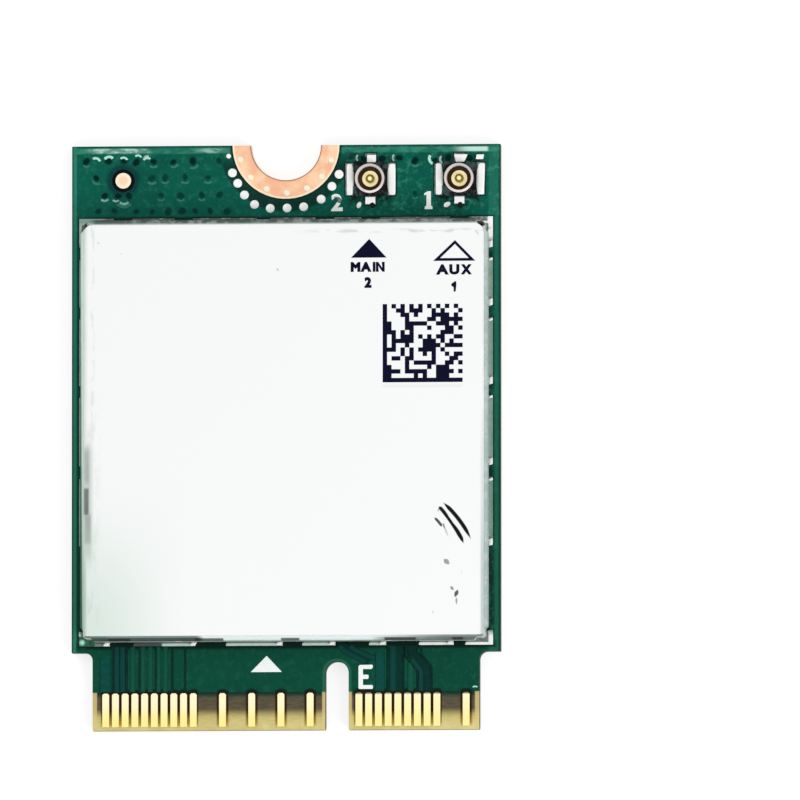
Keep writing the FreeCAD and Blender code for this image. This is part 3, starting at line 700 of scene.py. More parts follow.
def finish_label(colours):
    """White film with a cool cast, rubbed edges, a few scuffs and painted shade towards its lower left."""
    label = Finish("label_film")
    x, y = label.x, label.y
    fibre = label.noise(5.0, 4, 0.6)
    clouds = label.noise(0.16, 3, 0.5, shift=2)
    smears = label.noise(1.2, 5, 0.65, stretch=(2.6, 0.7, 1.0), shift=11)
    dashes = label.noise(1.3, 4, 0.6, stretch=(0.6, 2.4, 1.0), shift=4)
    left_edge = highest(
        x.fall(-10.25, -10.0) * (0.25 + smears * 0.6),
        x.fall(-10.1, -9.2) * y.fall(-1.0, 3.0) * smears.rise(0.42, 0.66) * 0.45,
        x.between(-9.90, -9.72, 0.08) * smears.rise(0.5, 0.6) * 0.3,
        x.fall(-10.0, -9.65) * y.between(-6.4, -0.4, 0.6) * 0.72,
    )
    right_edge = x.rise(10.04, 10.18) * (y.fall(-2.0, 2.0) * 0.4 + y.fall(-7.0, -3.0) * 0.45)
    back_edge = y.between(10.36, 10.54, 0.07) * dashes.rise(0.5, 0.62) * x.rise(0, 4)
    rub = highest(
        x.between(-10.25, -9.99, 0.05) * y.between(-4.05, -2.66, 0.10) * (0.55 + smears * 0.6),
        x.between(-10.20, -9.88, 0.08) * y.between(-5.5, -4.0, 0.15) * (0.1 + smears * 0.6),
        x.between(-10.22, -9.98, 0.07) * y.between(-2.4, -0.6, 0.3) * (0.05 + smears * 0.6),
        x.between(5.10, 9.15, 0.1) * y.between(2.42, 2.56, 0.06) * 0.10,
    )
    rim = label.from_can().rise(-0.32, -0.20) * smears.rise(0.40, 0.60)
    dark = highest(*(
        label.stroke(start, end, width, *shape) * strength
        for start, end, width, strength, *shape in SCUFFS
    ))
    base = label.layers(
        colours.paper,
        (clouds * 0.2, (0.92, 0.95, 0.95)),
        # Darker and greener towards the lower left: painted shade.
        (x.fall(-10.3, -4.5) * y.fall(-10.2, -2.0), (0.71, 0.82, 0.755)),
        (left_edge, (0.46, 0.55, 0.49)),
        (x.fall(-10.24, -10.06) * y.fall(-7.5, -5.5) * 0.6, (0.27, 0.46, 0.36)),
        (right_edge, (0.50, 0.56, 0.57)),
        (back_edge * 0.45, (0.40, 0.44, 0.40)),
        (rub, (0.13, 0.15, 0.14)),
        (rim * 0.2, (0.56, 0.62, 0.59)),
        (dark, (0.002, 0.002, 0.004)),
    )
    return label.close(base, 0.42 + fibre * 0.1 + dark * 0.2, fibre, 0.003, gloss=0.12)


def finish_ink(name, colour, speck, *rubbed):
    """Thermal print or screen ink with uneven cover; rubbed gives strokes and what shows there."""
    ink = Finish(name)
    cover = ink.noise(9, 4, 0.65)
    coats = [(ink.stroke(*stroke) * (0.6 + cover * 0.5), below) for stroke, below in rubbed]
    base = ink.layers(colour, (cover.rise(0.55, 0.85) * 0.5, speck), *coats)
    return ink.close(base, 0.5 + cover * 0.2, cover, 0.002, gloss=0.05)


# Meshes

def add_piece(name, shape, finish, smooth=True):
    """Turns a bmesh in millimetres into a piece of the card."""
    resize(shape, (MM, MM, MM))
    mesh = bpy.data.meshes.new(name)
    shape.to_mesh(mesh)
    shape.free()
    for face in mesh.polygons:
        face.use_smooth = smooth
    mesh.materials.append(finish)
    piece = bpy.data.objects.new(name, mesh)
    bpy.context.scene.collection.objects.link(piece)
    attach(piece, BODY)
    return piece


def move(shape, offset, verts=None):
    bmesh.ops.translate(shape, verts=shape.verts if verts is None else verts, vec=offset)


def resize(shape, factors, verts=None):
    bmesh.ops.scale(shape, verts=shape.verts if verts is None else verts, vec=factors)


def lean(shape, offset, test):
    """Moves the vertices whose place passes a test."""
    move(shape, offset, [vert for vert in shape.verts if test(vert.co)])


def take_in(shape, mesh):
    """Adds a mesh to a shape and gives its fresh vertices."""
    first = len(shape.verts)
    shape.from_mesh(mesh)
    shape.verts.ensure_lookup_table()
    return shape.verts[first:]


def lathe(profile, steps, closed=True, angle=math.tau):
    """Spins (radius, height) points about the upright axis."""
    shape = bmesh.new()
    points = [shape.verts.new((radius, 0, height)) for radius, height in profile]
    pairs = list(zip(points, points[1:]))
    if closed:
        pairs.append((points[-1], points[0]))
    edges = [shape.edges.new(pair) for pair in pairs]
    full = angle == math.tau
    bmesh.ops.spin(
        shape, geom=points + edges, axis=(0, 0, 1), cent=(0, 0, 0),
        angle=angle, steps=steps, use_merge=full, use_duplicate=False,
    )
    bmesh.ops.remove_doubles(shape, verts=shape.verts, dist=1e-5)
    if not full:
        bmesh.ops.holes_fill(shape, edges=shape.edges)
    bmesh.ops.recalc_face_normals(shape, faces=shape.faces)
    return shape


def mound(profile, foot, steps):
    """A low round mound, given from its top outwards, whose foot lies just under the surface."""
    return lathe([*profile, (foot, -SUNK), (0, -SUNK)], steps, closed=False)


def repeated(unit, places):
    """Copies of a small shape, each moved to (x, y, z), turned about Z and scaled."""
    pattern = bpy.data.meshes.new("pattern")
    unit.to_mesh(pattern)
    unit.free()
    joined = bmesh.new()
    for x, y, z, turn, size in places:
        fresh = take_in(joined, pattern)
        resize(joined, (size, size, 1), fresh)
        bmesh.ops.rotate(joined, verts=fresh, cent=(0, 0, 0), matrix=Matrix.Rotation(turn, 3, "Z"))
        move(joined, (x, y, z), fresh)
    bpy.data.meshes.remove(pattern)
    return joined


def block(x_range, y_range, z_range, round_edge=0):
    """A box, rounded along its edges where asked."""
    shape = bmesh.new()
    bmesh.ops.create_cube(shape, size=1)
    low, high = (Vector(corner) for corner in zip(x_range, y_range, z_range))
    resize(shape, high - low)
    move(shape, (low + high) / 2)
    if round_edge:
        soften(shape, round_edge)
    return shape


def soften(shape, radius, segments=3):
    """Rounds every edge."""
    bmesh.ops.bevel(
        shape, geom=list(shape.edges), offset=radius, offset_type="OFFSET", affect="EDGES",
        segments=segments, profile=0.5, material=-1, clamp_overlap=True,
    )


def join(*shapes):
    """One shape of several."""
    joined = bmesh.new()
    for shape in shapes:
        part = bpy.data.meshes.new("part")
        shape.to_mesh(part)
        shape.free()
        joined.from_mesh(part)
        bpy.data.meshes.remove(part)
    return joined


def raise_flat(shape, bottom, rise):
    """Gives flat faces a thickness, from bottom up."""
    move(shape, (0, 0, bottom))
    grown = bmesh.ops.extrude_face_region(shape, geom=list(shape.faces))
    tops = [item for item in grown["geom"] if isinstance(item, bmesh.types.BMVert)]
    move(shape, (0, 0, rise), tops)
    bmesh.ops.recalc_face_normals(shape, faces=shape.faces)
    return shape


def flat_polygon(*points):
    """One flat face."""
    shape = bmesh.new()
    shape.faces.new([shape.verts.new((x, y, 0)) for x, y in points])
    return shape


def fit(shape, x_range, y_range):
    """Moves and stretches a flat shape to fill a rectangle."""
    across = [vert.co.x for vert in shape.verts]
    along = [vert.co.y for vert in shape.verts]
    move(shape, (-min(across), -min(along), 0))
    resize(shape, (
        (x_range[1] - x_range[0]) / (max(across) - min(across)),
        (y_range[1] - y_range[0]) / (max(along) - min(along)), 1,
    ))
    move(shape, (x_range[0], y_range[0], 0))


def mesh_of(curve):
    """Turns a curve or text into a mesh and drops it."""
    holder = bpy.data.objects.new("holder", curve)
    bpy.context.scene.collection.objects.link(holder)
    graph = bpy.context.evaluated_depsgraph_get()
    mesh = bpy.data.meshes.new_from_object(holder.evaluated_get(graph))
    bpy.data.objects.remove(holder)
    bpy.data.curves.remove(curve)
    return mesh


def lettering(words, x_range, y_range, weight):
    """Flat letters that fill a rectangle; weight grows their strokes."""
    curve = bpy.data.curves.new("letters", "FONT")
    curve.body = words
    curve.resolution_u = 6
    mesh = mesh_of(curve)
    shape = bmesh.new()
    shape.from_mesh(mesh)
    bpy.data.meshes.remove(mesh)
    fit(shape, x_range, y_range)
    bmesh.ops.remove_doubles(shape, verts=shape.verts, dist=1e-4)
    grow(shape, weight)
    return shape


def grow(shape, width):
    """Moves the outline of flat faces outwards."""
    shape.normal_update()
    sides = {}
    for edge in shape.edges:
        if edge.is_boundary:
            loop = edge.link_loops[0]
            run = (loop.link_loop_next.vert.co - loop.vert.co).normalized()
            for vert in edge.verts:
                sides.setdefault(vert, []).append(run.cross(loop.face.normal))
    for vert, outward in sides.items():
        total = sum(outward, Vector())
        vert.co += total * (2 * width / max(total.length_squared, 1))


def ridges(paths, rise):
    """Low rounded ridges along flat paths, half sunk into the board."""
    joined = bmesh.new()
    for width, points in paths:
        curve = bpy.data.curves.new("trace", "CURVE")
        curve.dimensions = "3D"
        curve.bevel_depth = width / 2
        curve.bevel_resolution = 2
        curve.use_fill_caps = True
        line = curve.splines.new("POLY")
        line.points.add(len(points) - 1)
        for point, (x, y) in zip(line.points, points):
            point.co = (x, y, 0, 1)
        mesh = mesh_of(curve)
        resize(joined, (1, 1, 2 * rise / width), take_in(joined, mesh))
        bpy.data.meshes.remove(mesh)
    move(joined, (0, 0, BOARD_TOP))
    bmesh.ops.recalc_face_normals(joined, faces=joined.faces)
    return joined


def copy_of_node(node):
    """A welded copy of a CAD node's mesh, in millimetres."""
    shape = bmesh.new()
    shape.from_mesh(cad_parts[node].data)
    resize(shape, (1 / MM, 1 / MM, 1 / MM))
    bmesh.ops.remove_doubles(shape, verts=shape.verts, dist=1e-4)
    bmesh.ops.dissolve_limit(
        shape, angle_limit=math.radians(1), verts=shape.verts, edges=shape.edges,
    )
    return shape


def dress(finish, *nodes):
    """Gives CAD nodes a finish."""
    for node in nodes:
        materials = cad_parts[node].data.materials
        materials.clear()
        materials.append(finish)


class CARD_OT_board(bpy.types.Operator):
    """Dress the board, its contacts, lands and marks"""

    bl_idname = "card.board"
    bl_label = "Board"

    bump_ring = 2.45
    bump_degrees = (17, 42, 66, 91, 116, 139, 162)
    bump_size = 1.1

    def execute(self, context):
        colours = context.scene.card_colours
        dress(BoardFinish(colours).finished(), "circuit_board")
        dress(finish_gold(colours), "edge_contacts_top", "edge_contacts_bottom")
        dress(finish_copper(colours), "back_screw_land")
        dress(finish_fiducial(), "fiducial_dot")
        bump = mound([(0, 0.030), (0.07, 0.026), (0.13, 0.012)], 0.16, 16)
        land_top = corners_of("back_screw_land")[1].z
        places = []
        for degrees in self.bump_degrees:
            turn = math.radians(180 + degrees)
            x, y = self.bump_ring * math.cos(turn), NOTCH_Y + self.bump_ring * math.sin(turn)
            places.append((x, y, land_top, 0, self.bump_size))
        pale = finish_tin("copper_land_bumps", (1.0, 0.90, 0.69))
        add_piece("screw_land_bumps", repeated(bump, places), pale)
        return {"FINISHED"}


class CARD_OT_vias(bpy.types.Operator):
    """Add the covered vias of the board's back strip"""

    bl_idname = "card.vias"
    bl_label = "Vias"

    # Rows of vias, as y and every x.
    deep_rows = (
        (14.20, (-10.27, -9.14, -8.32, -7.70, -6.81, -5.80, -4.79, 6.63, 7.65)),
        (14.30, (3.98, 4.94, 5.82, 8.34, 9.42)),
        (13.40, (-9.76,)),
        (12.46, (-9.32, -8.63, -8.08)),
    )
    faint_rows = (
        (14.20, (-3.44,)),
        (13.40, (-6.90, -6.21, -5.19, -4.01)),
        (12.46, (-6.42, -5.41, -4.33, -3.41, 6.63)),
        (11.66, (-9.66, -8.83, -7.70, -6.88, -6.06, -5.34, -4.67, -3.90, -3.03)),
    )
    # Glints on rims, as x, y, the middle of the arc in degrees and the size.
    glints = (
        (-10.27, 14.15, 270, 0.8), (-6.81, 14.15, 270, 1.0), (-5.80, 14.15, 290, 1.0),
        (-4.79, 14.12, 290, 1.1), (-9.70, 13.33, 250, 1.1), (-6.90, 13.33, 270, 1.1),
        (-6.21, 13.33, 270, 1.0), (-5.19, 13.33, 270, 1.0), (-4.01, 13.33, 270, 1.0),
        (-6.42, 12.41, 270, 0.9), (-5.41, 12.41, 270, 1.0), (-4.33, 12.41, 270, 0.9),
        (6.63, 14.12, 270, 1.0), (6.63, 12.41, 270, 0.8), (9.30, 11.95, 60, 0.9),
        (-8.32, 12.30, 270, 1.7), (4.94, 12.66, 20, 0.9), (5.60, 13.38, 150, 0.8),
    )
    dull_glints = (
        (3.82, 14.32, 180, 0.8), (5.68, 14.32, 180, 0.8), (8.16, 14.22, 190, 1.0), (-7.13, 14.30, 120, 0.8),
    )
    pale_glints = ((-9.32, 12.41, 270, 0.9), (-8.74, 12.36, 265, 0.8), (-8.32, 12.30, 270, 1.2))
    brightest_glints = (
        (-9.80, 14.16, 70, 1.0), (-9.10, 14.20, 95, 1.1), (-8.36, 14.20, 80, 0.9),
        (-7.62, 14.34, 80, 0.8), (-7.13, 14.18, 100, 0.9), (7.64, 14.27, 195, 1.15), (9.71, -12.95, 90, 0.6),
    )
    # Degrees that a glint sweeps, and from its start to its middle.
    glint_arc, glint_lead = 105, 52
    # Vias are drawn wider than long.
    flatness = (1.12, 0.86, 1)

    def execute(self, context):
        colours, sizes = context.scene.card_colours, context.scene.card_sizes
        outer, hole, rise = sizes.via_radius, sizes.via_hole, sizes.via_rise
        rim = lathe([
            (hole, -SUNK), (hole + 0.02, rise * 0.8), ((hole + outer) / 2, rise),
            (outer - 0.02, rise * 0.5), (outer, -SUNK),
        ], 20)
        well = mound([(0, 0.004), (hole * 0.8, 0.003), (hole + 0.02, 0.001)], hole + 0.02, 16)
        resize(well, self.flatness)
        resize(rim, self.flatness)
        glint = lathe([
            (outer - 0.07, 0.0), (outer - 0.05, rise * 1.2), (outer, rise * 1.4),
            (outer + 0.05, rise), (outer + 0.07, 0.0),
        ], 9, angle=math.radians(self.glint_arc))
        dice = random.Random(5)
        mask = finish_mask("mask_over_vias", colours, (0.001, 0.056, 0.040), 0.12)
        # The dark wells are partly the darker mask over the open holes and partly painted shade of a dimple,
        # which the low mound doesn't make.
        wells = (
            ("deep", self.deep_rows, 0.75, (0.0, 0.014, 0.012), (0.001, 0.05, 0.04)),
            ("faint", self.faint_rows, 0.60, (0.0, 0.042, 0.032), (0.001, 0.075, 0.055)),
        )
        for name, rows, least, colour, speck in wells:
            places = []
            for y, row in rows:
                for x in row:
                    turn, size = dice.uniform(0, math.tau), dice.uniform(least, least + 0.3)
                    places.append((x, y + dice.uniform(-0.04, 0.04), BOARD_TOP, turn, size))
            dark = finish_resin(name + "_wells", colour, speck, 0.5, 0.02)
            add_piece(name + "_via_rims", repeated(rim.copy(), places), mask)
            add_piece(name + "_via_wells", repeated(well.copy(), places), dark)
        # Each glint group is a pale raised arc, a painted highlight on a via's rim.
        finishes = (
            ("via_glint_crescents", self.glints,
             finish_mask("glint_crescent_mask", colours, (0.028, 0.165, 0.125), 0.4)),
            ("via_dull_rim_glints", self.dull_glints, finish_tin("dull_glint_finish", (0.26, 0.42, 0.36))),
            ("via_pale_rim_glints", self.pale_glints, finish_tin("pale_glint_finish", (0.17, 0.38, 0.33))),
            ("via_bright_rim_glints", self.brightest_glints, finish_tin("bright_glint_finish", (0.42, 0.77, 0.65))),
        )
        for name, glints, finish in finishes:
            turned = [
                (x, y, BOARD_TOP, math.radians(degrees - self.glint_lead), size)
                for x, y, degrees, size in glints
            ]
            add_piece(name, repeated(glint.copy(), turned), finish)
        for unit in (rim, well, glint):
            unit.free()
        return {"FINISHED"}


class CARD_OT_traces(bpy.types.Operator):
    """Add the traces that show through the mask"""

    bl_idname = "card.traces"
    bl_label = "Traces"

    def execute(self, context):
        colours, sizes = context.scene.card_colours, context.scene.card_sizes
        front, back = -13.02, -10.72

        def straight(width, *places, end=back):
            return [(width, ((x, front), (x, end))) for x in places]

        shaded = straight(0.92, 5.62) + [
            (0.74, ((7.11, front), (7.11, -11.9), (6.42, -11.15), (6.42, back))),
            (0.46, ((2.95, back), (3.30, -10.95), (4.30, -11.50))),
        ]
        teal = straight(0.50, 4.82, end=-11.0) + straight(0.60, -9.28, end=-11.3)
        pale = straight(0.26, -7.86, -7.34, -6.96, -6.55, -6.18) + straight(0.30, 6.40, end=-11.6)
        blue = straight(0.30, -8.68, -8.38) + straight(0.34, 5.50) + [
            (0.30, ((2.75, back), (3.05, -11.0), (4.10, -11.55))),
            (0.30, ((3.30, back), (3.70, -11.0), (4.55, -11.35))),
            (0.26, ((6.93, front), (6.93, -12.0), (6.47, -11.4))),
        ]
        deep = straight(0.13, -8.88, -8.17, -7.50, -6.66, -5.83, -5.17, 5.24, 5.98) + [
            (0.13, ((6.74, front), (6.74, -12.0), (6.30, -11.45), (6.30, back))),
            (0.13, ((7.12, front), (7.12, -11.9), (6.62, -11.3), (6.62, back))),
            (0.13, ((7.48, front), (7.48, -11.8), (6.95, -11.15), (6.95, back))),
        ]
        groups = (
            ("shaded_traces", shaded, 0.4, (0.0, 0.026, 0.021), 0.05),
            ("teal_traces", teal, 0.5, (0.001, 0.072, 0.056), 0.05),
            ("pale_traces", pale, 0.8, colours.mask_front, 0.16),
            ("blue_traces", blue, 0.9, colours.mask_blue, 0.1),
            ("deep_traces", deep, 1.0, (0.0, 0.012, 0.011), 0.05),
        )
        for name, paths, rise, colour, highlight in groups:
            finish = finish_mask("mask_on_" + name, colours, colour, highlight)
            add_piece(name, ridges(paths, sizes.trace_rise * rise), finish)
        return {"FINISHED"}


class CARD_OT_legend(bpy.types.Operator):
    """Print the white legend on the board"""

    bl_idname = "card.legend"
    bl_label = "Board legend"

    def execute(self, context):
        colours, sizes = context.scene.card_colours, context.scene.card_sizes
        two = lettering("2", (2.37, 2.87), (11.64, 12.44), 0.045)
        key_letter = flat_polygon(
            (3.77, -12.92), (4.44, -12.92), (4.47, -12.86), (4.47, -12.77), (4.43, -12.72),
            (3.96, -12.72), (3.96, -12.41), (4.21, -12.41), (4.25, -12.37), (4.25, -12.23),
            (4.21, -12.19), (3.96, -12.19), (3.96, -11.90), (4.39, -11.90), (4.46, -11.84),
            (4.47, -11.73), (4.43, -11.68), (3.80, -11.69), (3.73, -11.76), (3.73, -12.87),
        )
        pin_mark = flat_polygon((-1.80, -12.03), (-0.20, -12.03), (-0.98, -11.20))
        one = flat_polygon(
            (7.13, 11.67), (7.53, 11.67), (7.53, 11.79), (7.45, 11.86), (7.45, 12.59), (7.29, 12.59),
            (7.10, 12.48), (7.10, 12.38), (7.22, 12.42), (7.22, 11.86), (7.13, 11.79),
        )
        rubbed = ((2.42, 12.36), (3.02, 11.96), 0.16), colours.mask_front
        white = finish_ink("legend_ink", colours.legend, (0.80, 0.88, 0.84), rubbed)
        flat = join(two, key_letter, pin_mark, one)
        shape = raise_flat(flat, BOARD_TOP - PRINT_SUNK, sizes.print_rise)
        add_piece("board_legend", shape, white, smooth=False)
        return {"FINISHED"}


class CARD_OT_solder(bpy.types.Operator):
    """Add solder dots, spilt solder and the fillets along the can"""

    bl_idname = "card.solder"
    bl_label = "Solder"

    # Bright ends beside the can, as y and length.
    side_ends = (
        (9.88, 0.32), (9.10, 0.12), (6.90, 0.34), (6.00, 0.12), (2.87, 0.36), (2.04, 0.12),
        (-1.28, 0.32), (-2.20, 0.12), (-5.40, 0.34),
    )

    def execute(self, context):
        colours, sizes = context.scene.card_colours, context.scene.card_sizes
        tin = finish_tin("bright_solder", colours.tin)
        # The ports' lands are given a dark tin.
        dress(finish_tin("dark_port_lands", (0.10, 0.13, 0.12)), "port_lands")
        dress(tin, "radio_chip_leads", "radio_chip_ground_pad", "front_end_pads", "memory_chip_leads",
              "crystal_pads", "inductor_terminals", "capacitor_terminals", "antenna_filter_terminals")
        rise = sizes.dot_rise
        dome = mound([
            (0, rise), (0.08, rise * 0.95), (0.15, rise * 0.75), (0.20, rise * 0.45), (0.225, rise * 0.15),
        ], 0.23, 24)
        places = [(x, y, BOARD_TOP, 0, 1) for x, y in self.dot_places()]
        places.append((-2.95, 14.46, BOARD_TOP, 0, 0.55))
        dots = add_piece("solder_dots", repeated(dome, places), tin)
        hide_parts("ground_dots")
        can_solder = finish_can_solder(colours)
        dress(can_solder, "shield_lands")
        fillets = copy_of_node("shield_solder")
        soften(fillets, 0.035, 2)
        beads = add_piece("can_solder", fillets, can_solder)
        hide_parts("shield_solder")
        add_piece("foot_ends", join(*self.foot_ends()), tin)
        drop = mound([(0, 0.035), (0.07, 0.03), (0.12, 0.012)], 0.14, 14)
        resize(drop, (0.85, 1.3, 1))
        drops = repeated(drop, (
            (3.76, 11.90, BOARD_TOP, math.radians(-25), 1), (8.28, 11.90, BOARD_TOP, math.radians(-58), 1.1),
        ))
        pad = block((9.80, 10.18), (14.22, 14.46), (BOARD_TOP - 0.01, BOARD_TOP + 0.02))
        lean(pad, (-0.05, 0, 0), lambda at: at.y < 14.3)
        soften(pad, 0.01)
        add_piece("solder_drops", join(drops, pad), tin)
        return {"FINISHED"}

    def foot_ends(self):
        """Bright ends of the solder at the feet, slanted along the front and the right."""
        found = []
        low, high = corners_of("shield_cover")
        front, right = low.y, high.x
        for x, _ in CAN_WINDOWS:
            end = block((x - 0.36, x - 0.10), (front - 0.17, front), (BOARD_TOP, BOARD_TOP + 0.30))
            lean(end, (0.10, 0, 0), lambda at: at.y > front - 0.1)
            found.append(end)
        for y, length in self.side_ends:
            half = length / 2
            end = block((right - 0.01, right + 0.18), (y - half, y + half), (BOARD_TOP, BOARD_TOP + 0.28))
            lean(end, (0, -0.06, 0), lambda at: at.x < right + 0.1)
            found.append(end)
        for end in found:
            soften(end, 0.03)
        return found

    @staticmethod
    def dot_places():
        """Middle of every separate disc among the ground dots."""
        shape = copy_of_node("ground_dots")
        left = set(shape.verts)
        places = []
        while left:
            island = {left.pop()}
            fresh = list(island)
            while fresh:
                vert = fresh.pop()
                for edge in vert.link_edges:
                    other = edge.other_vert(vert)
                    if other in left:
                        left.discard(other)
                        island.add(other)
                        fresh.append(other)
            middle = sum((vert.co for vert in island), Vector()) / len(island)
            places.append((middle.x, middle.y))
        shape.free()
        return sorted(places)


class CARD_OT_ports(bpy.types.Operator):
    """Build the two antenna ports"""

    bl_idname = "card.ports"
    bl_label = "Antenna ports"

    # Inner, groove and outer radius of a ring.
    bore, groove, outside = 0.62, 0.735, 0.77
    wing_rise = 0.12
    # Where the gap at the end of the tail lies, across from the axis.
    tail_shift = {"main_port": 0.10, "aux_port": 0.04}
    # The ground tab's sides at its near and far end.
    tabs = {"main_port": ((-0.17, 0.29), (-0.17, 0.29)), "aux_port": ((-0.18, 0.24), (-0.28, 0.42))}

    def execute(self, context):
        colours = context.scene.card_colours
        metal = finish_port_ring(colours)
        tin = finish_tin("port_solder", colours.tin, dull=0.9)
        dusk = finish_resin("shaded_plating", (0.006, 0.008, 0.008), (0.03, 0.03, 0.03), 0.5, 0.05)
        dress(finish_port_base(colours), "main_port_base", "aux_port_base")
        dress(finish_port_contact(colours), "main_port_contact", "aux_port_contact")
        bore, groove, outside = self.bore, self.groove, self.outside
        for port in PORTS:
            middle = middle_of(port + "_base")
            seat = corners_of(port + "_base")[1].z
            top = corners_of(port + "_shell")[1].z
            ring = lathe([
                (bore, seat), (outside, seat), (outside, seat + 0.19), (groove, seat + 0.26),
                (outside, seat + 0.33), (outside, top - 0.04), (0.755, top - 0.014), (0.73, top),
                (0.665, top), (0.635, top - 0.014), (bore, top - 0.05),
            ], 56)
            move(ring, (middle.x, middle.y, 0))
            shell = add_piece(port + "_ring", ring, metal)
            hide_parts(port + "_shell")
            add_piece(port + "_wings", join(*self.wings(port, middle)), tin)
            add_piece(port + "_necks", join(*self.necks(middle, seat)), dusk)
            gap = lathe([(0, 0.14), (0.10, 0.138), (0.135, 0.12), (0.14, 0.0), (0, 0.0)], 18, closed=False)
            move(gap, (middle.x + self.tail_shift[port], middle.y - 1.34, BOARD_TOP))
            add_piece(port + "_tail_gap", gap, dusk)
        return {"FINISHED"}

    def wings(self, port, middle):
        """Soldered strips at both sides and the ground tab."""
        found = []
        z_range = (BOARD_TOP, BOARD_TOP + self.wing_rise)
        for outer, inner, side in ((-1.22, -0.93, 1), (1.29, 0.96, -1)):
            x_range = sorted((middle.x + outer, middle.x + inner))
            strip = block(x_range, (middle.y - 0.83, middle.y + 0.78), z_range)
            if port == "aux_port" and side < 0:
                lean(strip, (0.03, 0, 0), lambda at: at.y > middle.y)
                lean(strip, (-0.03, 0, 0), lambda at: at.y < middle.y)
            bmesh.ops.subdivide_edges(strip, edges=list(strip.edges), cuts=3, use_grid_fill=True)
            lean(strip, (0.09 * side, 0, 0), lambda at: (
                (at.x - middle.x - inner) * side > -0.05 and abs(at.y - middle.y) < 0.6
            ))
            bmesh.ops.smooth_vert(
                strip, verts=list(strip.verts), factor=0.35,
                use_axis_x=True, use_axis_y=True, use_axis_z=True,
            )
            found.append(strip)
        near, far = self.tabs[port]
        x_range = (middle.x + near[0], middle.x + near[1])
        tab = block(x_range, (middle.y + 0.83, middle.y + 1.24), z_range)
        for vert in tab.verts:
            if vert.co.y > middle.y + 1:
                vert.co.x = middle.x + (far[0] if vert.co.x < middle.x else far[1])
        soften(tab, 0.03)
        return found + [tab]

    @staticmethod
    def necks(middle, seat):
        """Low bridges from the ring to its strips and its ground tab."""
        sides = (
            ((-0.85, -0.64), (-0.34, 0.34)), ((0.64, 0.85), (-0.34, 0.34)), ((-0.24, 0.24), (0.64, 0.86)),
        )
        return [
            block([middle.x + x for x in across], [middle.y + y for y in along], (BOARD_TOP, seat), 0.03)
            for across, along in sides
        ]


class CARD_OT_can(bpy.types.Operator):
    """Dress the shield can"""

    bl_idname = "card.can"
    bl_label = "Shield can"

    # Corner radii of the label: both front ones, back left, back right.
    front_corner, left_corner, right_corner = 0.14, 0.42, 0.50

    def execute(self, context):
        colours = context.scene.card_colours
        dress(finish_sheet(colours), "shield_fence", "shield_cover", "crystal_lid")
        film = add_piece("label_film", self.film(), finish_label(colours), smooth=False)
        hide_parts("cover_label")
        return {"FINISHED"}

    def film(self):
        """The label, with rubbed round corners and a soft upper rim."""
        low, high = corners_of("cover_label")
        shape = bmesh.new()
        bmesh.ops.create_grid(shape, x_segments=1, y_segments=1, size=0.5)
        fit(shape, (low.x, high.x), (low.y, high.y))
        for vert in list(shape.verts):
            back_corner = self.left_corner if vert.co.x < 0 else self.right_corner
            bmesh.ops.bevel(
                shape, geom=[vert], offset=self.front_corner if vert.co.y < 0 else back_corner,
                offset_type="OFFSET", affect="VERTICES", segments=6, profile=0.5, material=-1,
            )
        raise_flat(shape, low.z, high.z - low.z)
        rim = [edge for edge in shape.edges if min(vert.co.z for vert in edge.verts) > high.z - 0.001]
        bmesh.ops.bevel(
            shape, geom=rim, offset=0.025, offset_type="OFFSET", affect="EDGES",
            segments=2, profile=0.5, material=-1,
        )
        return shape


